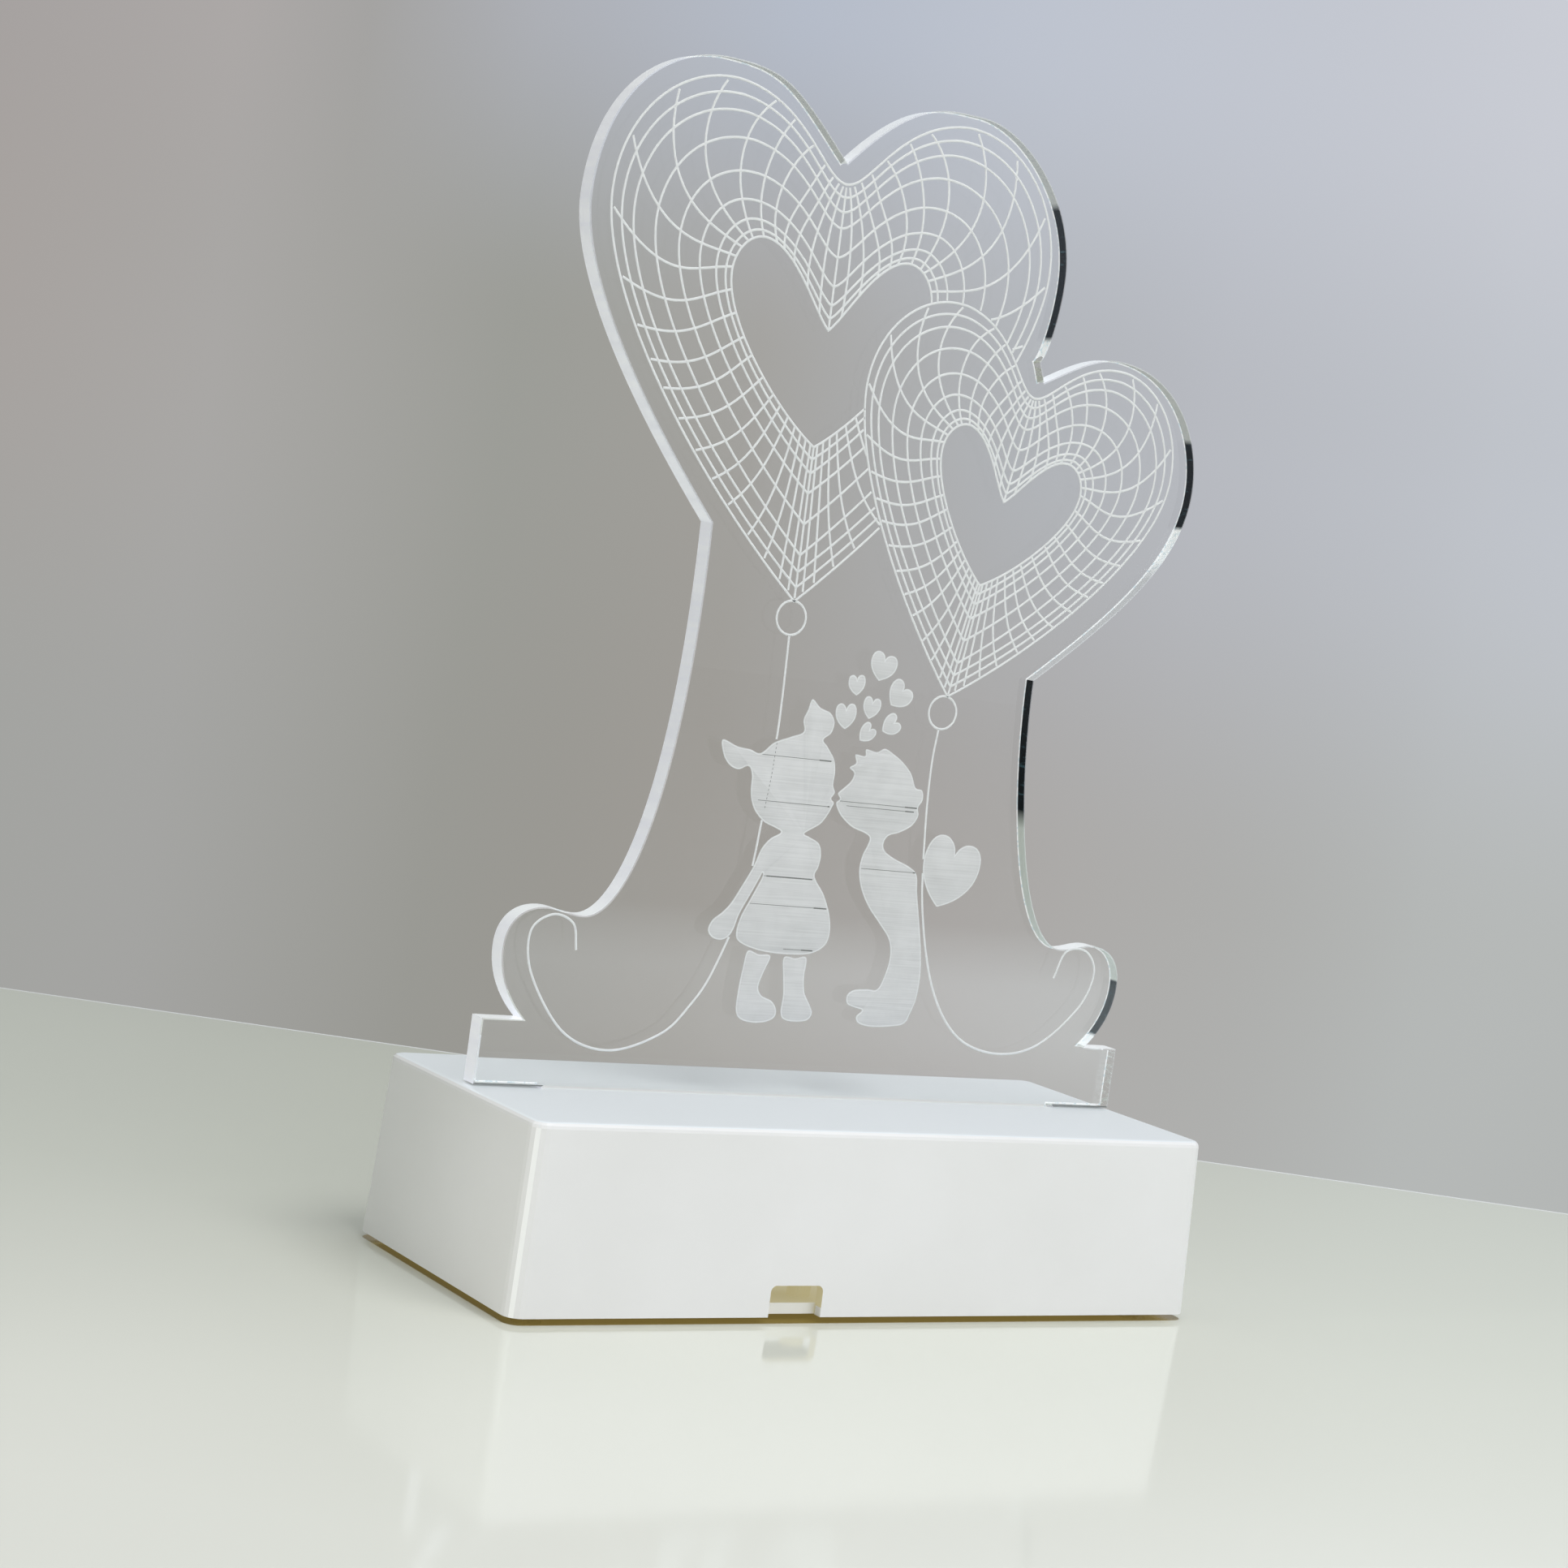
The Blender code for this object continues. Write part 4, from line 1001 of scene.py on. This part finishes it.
def wall_material():
    """A backdrop glowing with painted light and shade, that only its front shows, and only to rays
    that look at it.
    """
    made, t = new_material("wall_paint_and_painted_light")
    geometry = t.add("ShaderNodeNewGeometry").outputs
    place = t.split(geometry["Position"])
    along = t.maths("MULTIPLY_ADD", place["X"], WALL_ALONG.x, t.multiply(place["Y"], WALL_ALONG.y))
    across = t.span(along, *WALL_ACROSS)
    height = t.span(place["Z"], *WALL_UP)
    # Painted light and shade: rows of colour, darker low down and paler towards the top and one end
    low = t.ramp(across, (
        (0.02, srgb(164, 165, 162)), (0.16, srgb(162, 162, 160)), (0.31, srgb(155, 155, 150)),
        (0.45, srgb(160, 157, 152)), (0.60, srgb(171, 168, 166)), (0.85, srgb(181, 184, 183))))
    middle = t.ramp(across, (
        (0.02, srgb(166, 161, 158)), (0.16, srgb(167, 165, 163)), (0.32, srgb(158, 159, 154)),
        (0.45, srgb(162, 160, 156)), (0.60, srgb(177, 180, 185)), (0.70, srgb(186, 189, 196)),
        (0.85, srgb(192, 196, 203))))
    top = t.ramp(across, (
        (0.02, srgb(165, 161, 160)), (0.15, srgb(172, 168, 167)), (0.22, srgb(165, 164, 163)),
        (0.31, srgb(176, 179, 186)), (0.45, srgb(181, 188, 201)), (0.85, srgb(201, 204, 212))))
    middling = t.span(height, *WALL_MIDDLE_ROW, interpolation_type="SMOOTHSTEP")
    high = t.span(height, *WALL_TOP_ROW, interpolation_type="SMOOTHSTEP")
    wall_tone_and_painted_light = t.blend(high, t.blend(middling, low, middle), top)
    soft = t.noise(geometry["Position"], 7.0, 1.0, (1, 1, 0.35))
    shade = t.ramp(soft, ((0.3, (0.96, 0.955, 0.95, 1)), (0.7, (1.04, 1.04, 1.04, 1))))
    shown = t.multiply(t.maths("SUBTRACT", 1.0, geometry["Backfacing"]), t.seen())
    t.surface(t.mix(shown, t.clear(), t.glow(t.blend(1.0, wall_tone_and_painted_light, shade, "MULTIPLY"))))
    return made


def make_stage():
    """The table, and the wall behind the lamp as the photograph sees it."""
    turns = ((-1, -1), (1, -1), (1, 1), (-1, 1))
    table = [(x * FLOOR_HALF, y * FLOOR_HALF, 0) for x, y in turns]
    add_plane("table", table, floor_material())
    low = Vector((0, 0, WALL_GAP)) - WALL_NORMAL * WALL_DISTANCE
    high = Vector((0, 0, WALL_HEIGHT)) - WALL_NORMAL * WALL_DISTANCE
    along = WALL_ALONG * WALL_WIDTH / 2
    add_plane("wall", (low - along, low + along, high + along, high - along), wall_material())


def make_world():
    """Soft light from all round, dimmer from +X, and what the camera and gloss see of the room."""
    world = bpy.data.worlds.new("room")
    bpy.context.scene.world = world
    t = Tree(world)
    way = t.add("ShaderNodeTexCoord").outputs["Generated"]
    sky = t.split(way)
    tint = t.ramp(sky["Z"], ((0.0, (1.0, 0.995, 0.985, 1)), (1.0, (0.90, 0.99, 1.09, 1))))
    tint = t.blend(t.maths("MAXIMUM", sky["X"], 0.0), tint, (0.98, 1.0, 0.84, 1))
    strength = t.span(sky["X"], *DIM_SIDE, *DIM_STRENGTHS)
    lit = t.add("ShaderNodeBackground", {"Color": tint, "Strength": strength}).outputs[0]
    # What gloss mirrors of the room is cloudy, and paler higher up
    path = t.ray()
    clouds = t.maths("MULTIPLY_ADD", t.noise(way, 2.6, 2.0), ROOM_CLOUDS, -ROOM_CLOUDS / 2)
    rise = t.maths("ADD", t.span(sky["Z"], *ROOM_RISE), clouds)
    room = t.ramp(rise, (
        (0.0, srgb(158, 153, 150)), (0.5, srgb(184, 184, 190)), (1.0, srgb(238, 241, 255))))
    colour = t.blend(path["Is Camera Ray"], room, BACKDROP)
    colour = t.blend(path["Is Transmission Ray"], colour, BACKDROP)
    shown = t.add("ShaderNodeBackground", {"Color": colour, "Strength": 1.0}).outputs[0]
    t.add("ShaderNodeOutputWorld", {"Surface": t.mix(t.seen(), lit, shown)})


def add_lamp(name, kind, place, aim, **settings):
    """A lamp at a place, aimed at a point."""
    data = bpy.data.lights.new(name, kind)
    for setting, value in settings.items():
        setattr(data, setting, value)
    lamp = bpy.data.objects.new(name, data)
    bpy.context.scene.collection.objects.link(lamp)
    lamp.location = place
    lamp.rotation_mode = "QUATERNION"
    lamp.rotation_quaternion = (Vector(aim) - Vector(place)).to_track_quat("-Z", "Y")


def make_lamps():
    """A soft box above, and a small lamp that brightens the rear part of the base's +X end."""
    add_lamp("soft_box", "AREA", (-0.3, 1.0, 1.6), (0, 0, 0.08), energy=20.5,
             color=(1.0, 0.99, 0.98), shape="RECTANGLE", size=1.4, size_y=1.0)
    add_lamp("side_lamp", "SPOT", (0.7, 0.06, 0.12), (0.075, 0.055, 0.016), energy=3.9,
             color=(1.0, 0.98, 0.94), spot_size=0.27, spot_blend=1.0, shadow_soft_size=0.04)


def dress_frame():
    """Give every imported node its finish, by the longest start of its name that is known."""
    finishes = {
        "base_shell": shell_plastic(),
        "bottom_cover": cover_plastic(),
        "rubber_foot": moulded(
            "foot_rubber", srgb(38, 38, 39), 0.7, vary=0.15, grain=4000, depth=0.1),
        "cover_screw": moulded("zinc_plate", srgb(186, 188, 190), 0.35, metallic=1.0, grain=5000),
        "led_board": moulded("board_lacquer", srgb(232, 233, 228), 0.4, vary=0.04, grain=6000),
        "led_0": moulded("led_case", srgb(240, 236, 214), 0.35, vary=0.05, grain=6000),
        "resistor": moulded("resistor_case", srgb(28, 28, 30), 0.45, vary=0.1, grain=6000),
        "power_header": moulded("header_nylon", srgb(226, 222, 208), 0.5, vary=0.04, grain=5000),
        "header_pin": moulded("tinned_pin", srgb(205, 206, 204), 0.3, metallic=1.0, grain=6000),
        "cord_clamp": moulded("clamp_nylon", srgb(34, 34, 36), 0.55, vary=0.1, grain=4000),
    }
    finishes["board_screw"] = finishes["clamp_screw"] = finishes["cover_screw"]
    finishes["led_1"] = finishes["led_0"]
    for name, node in NODES.items():
        found = [start for start in finishes if name.startswith(start)]
        if found:
            surface = finishes[max(found, key=len)]
            node.data.materials.clear()
            node.data.materials.append(surface)


make_camera()
make_stage()
make_world()
make_lamps()
dress_frame()
make_panel(clear_acrylic(), cut_edge())
line_frost = frosted("engraved_line", srgb(240, 242, 243), 0.05, 0.95)
area_frost = frosted("engraved_area", srgb(231, 232, 233), 0.14, 0.88)
girl = [closed_line(points) for points in GIRL]
boy = [closed_line(points) for points in BOY]
held_heart = heart_outline(*HELD_HEART)
small_hearts = [heart_outline(*row) for row in SMALL_HEARTS]
make_nets(line_frost)
make_strings(line_frost, girl + boy + [held_heart])
make_figure("small_hearts", small_hearts, area_frost, line_frost)
make_figure("girl", girl, area_frost, line_frost)
make_figure("boy", boy, area_frost, line_frost)
make_figure("held_heart", [held_heart], area_frost, line_frost)
make_skips(frosted("skipped_pass", srgb(132, 136, 132), 0.1, 0.75))

bpy.context.scene.view_settings.view_transform = "Standard"
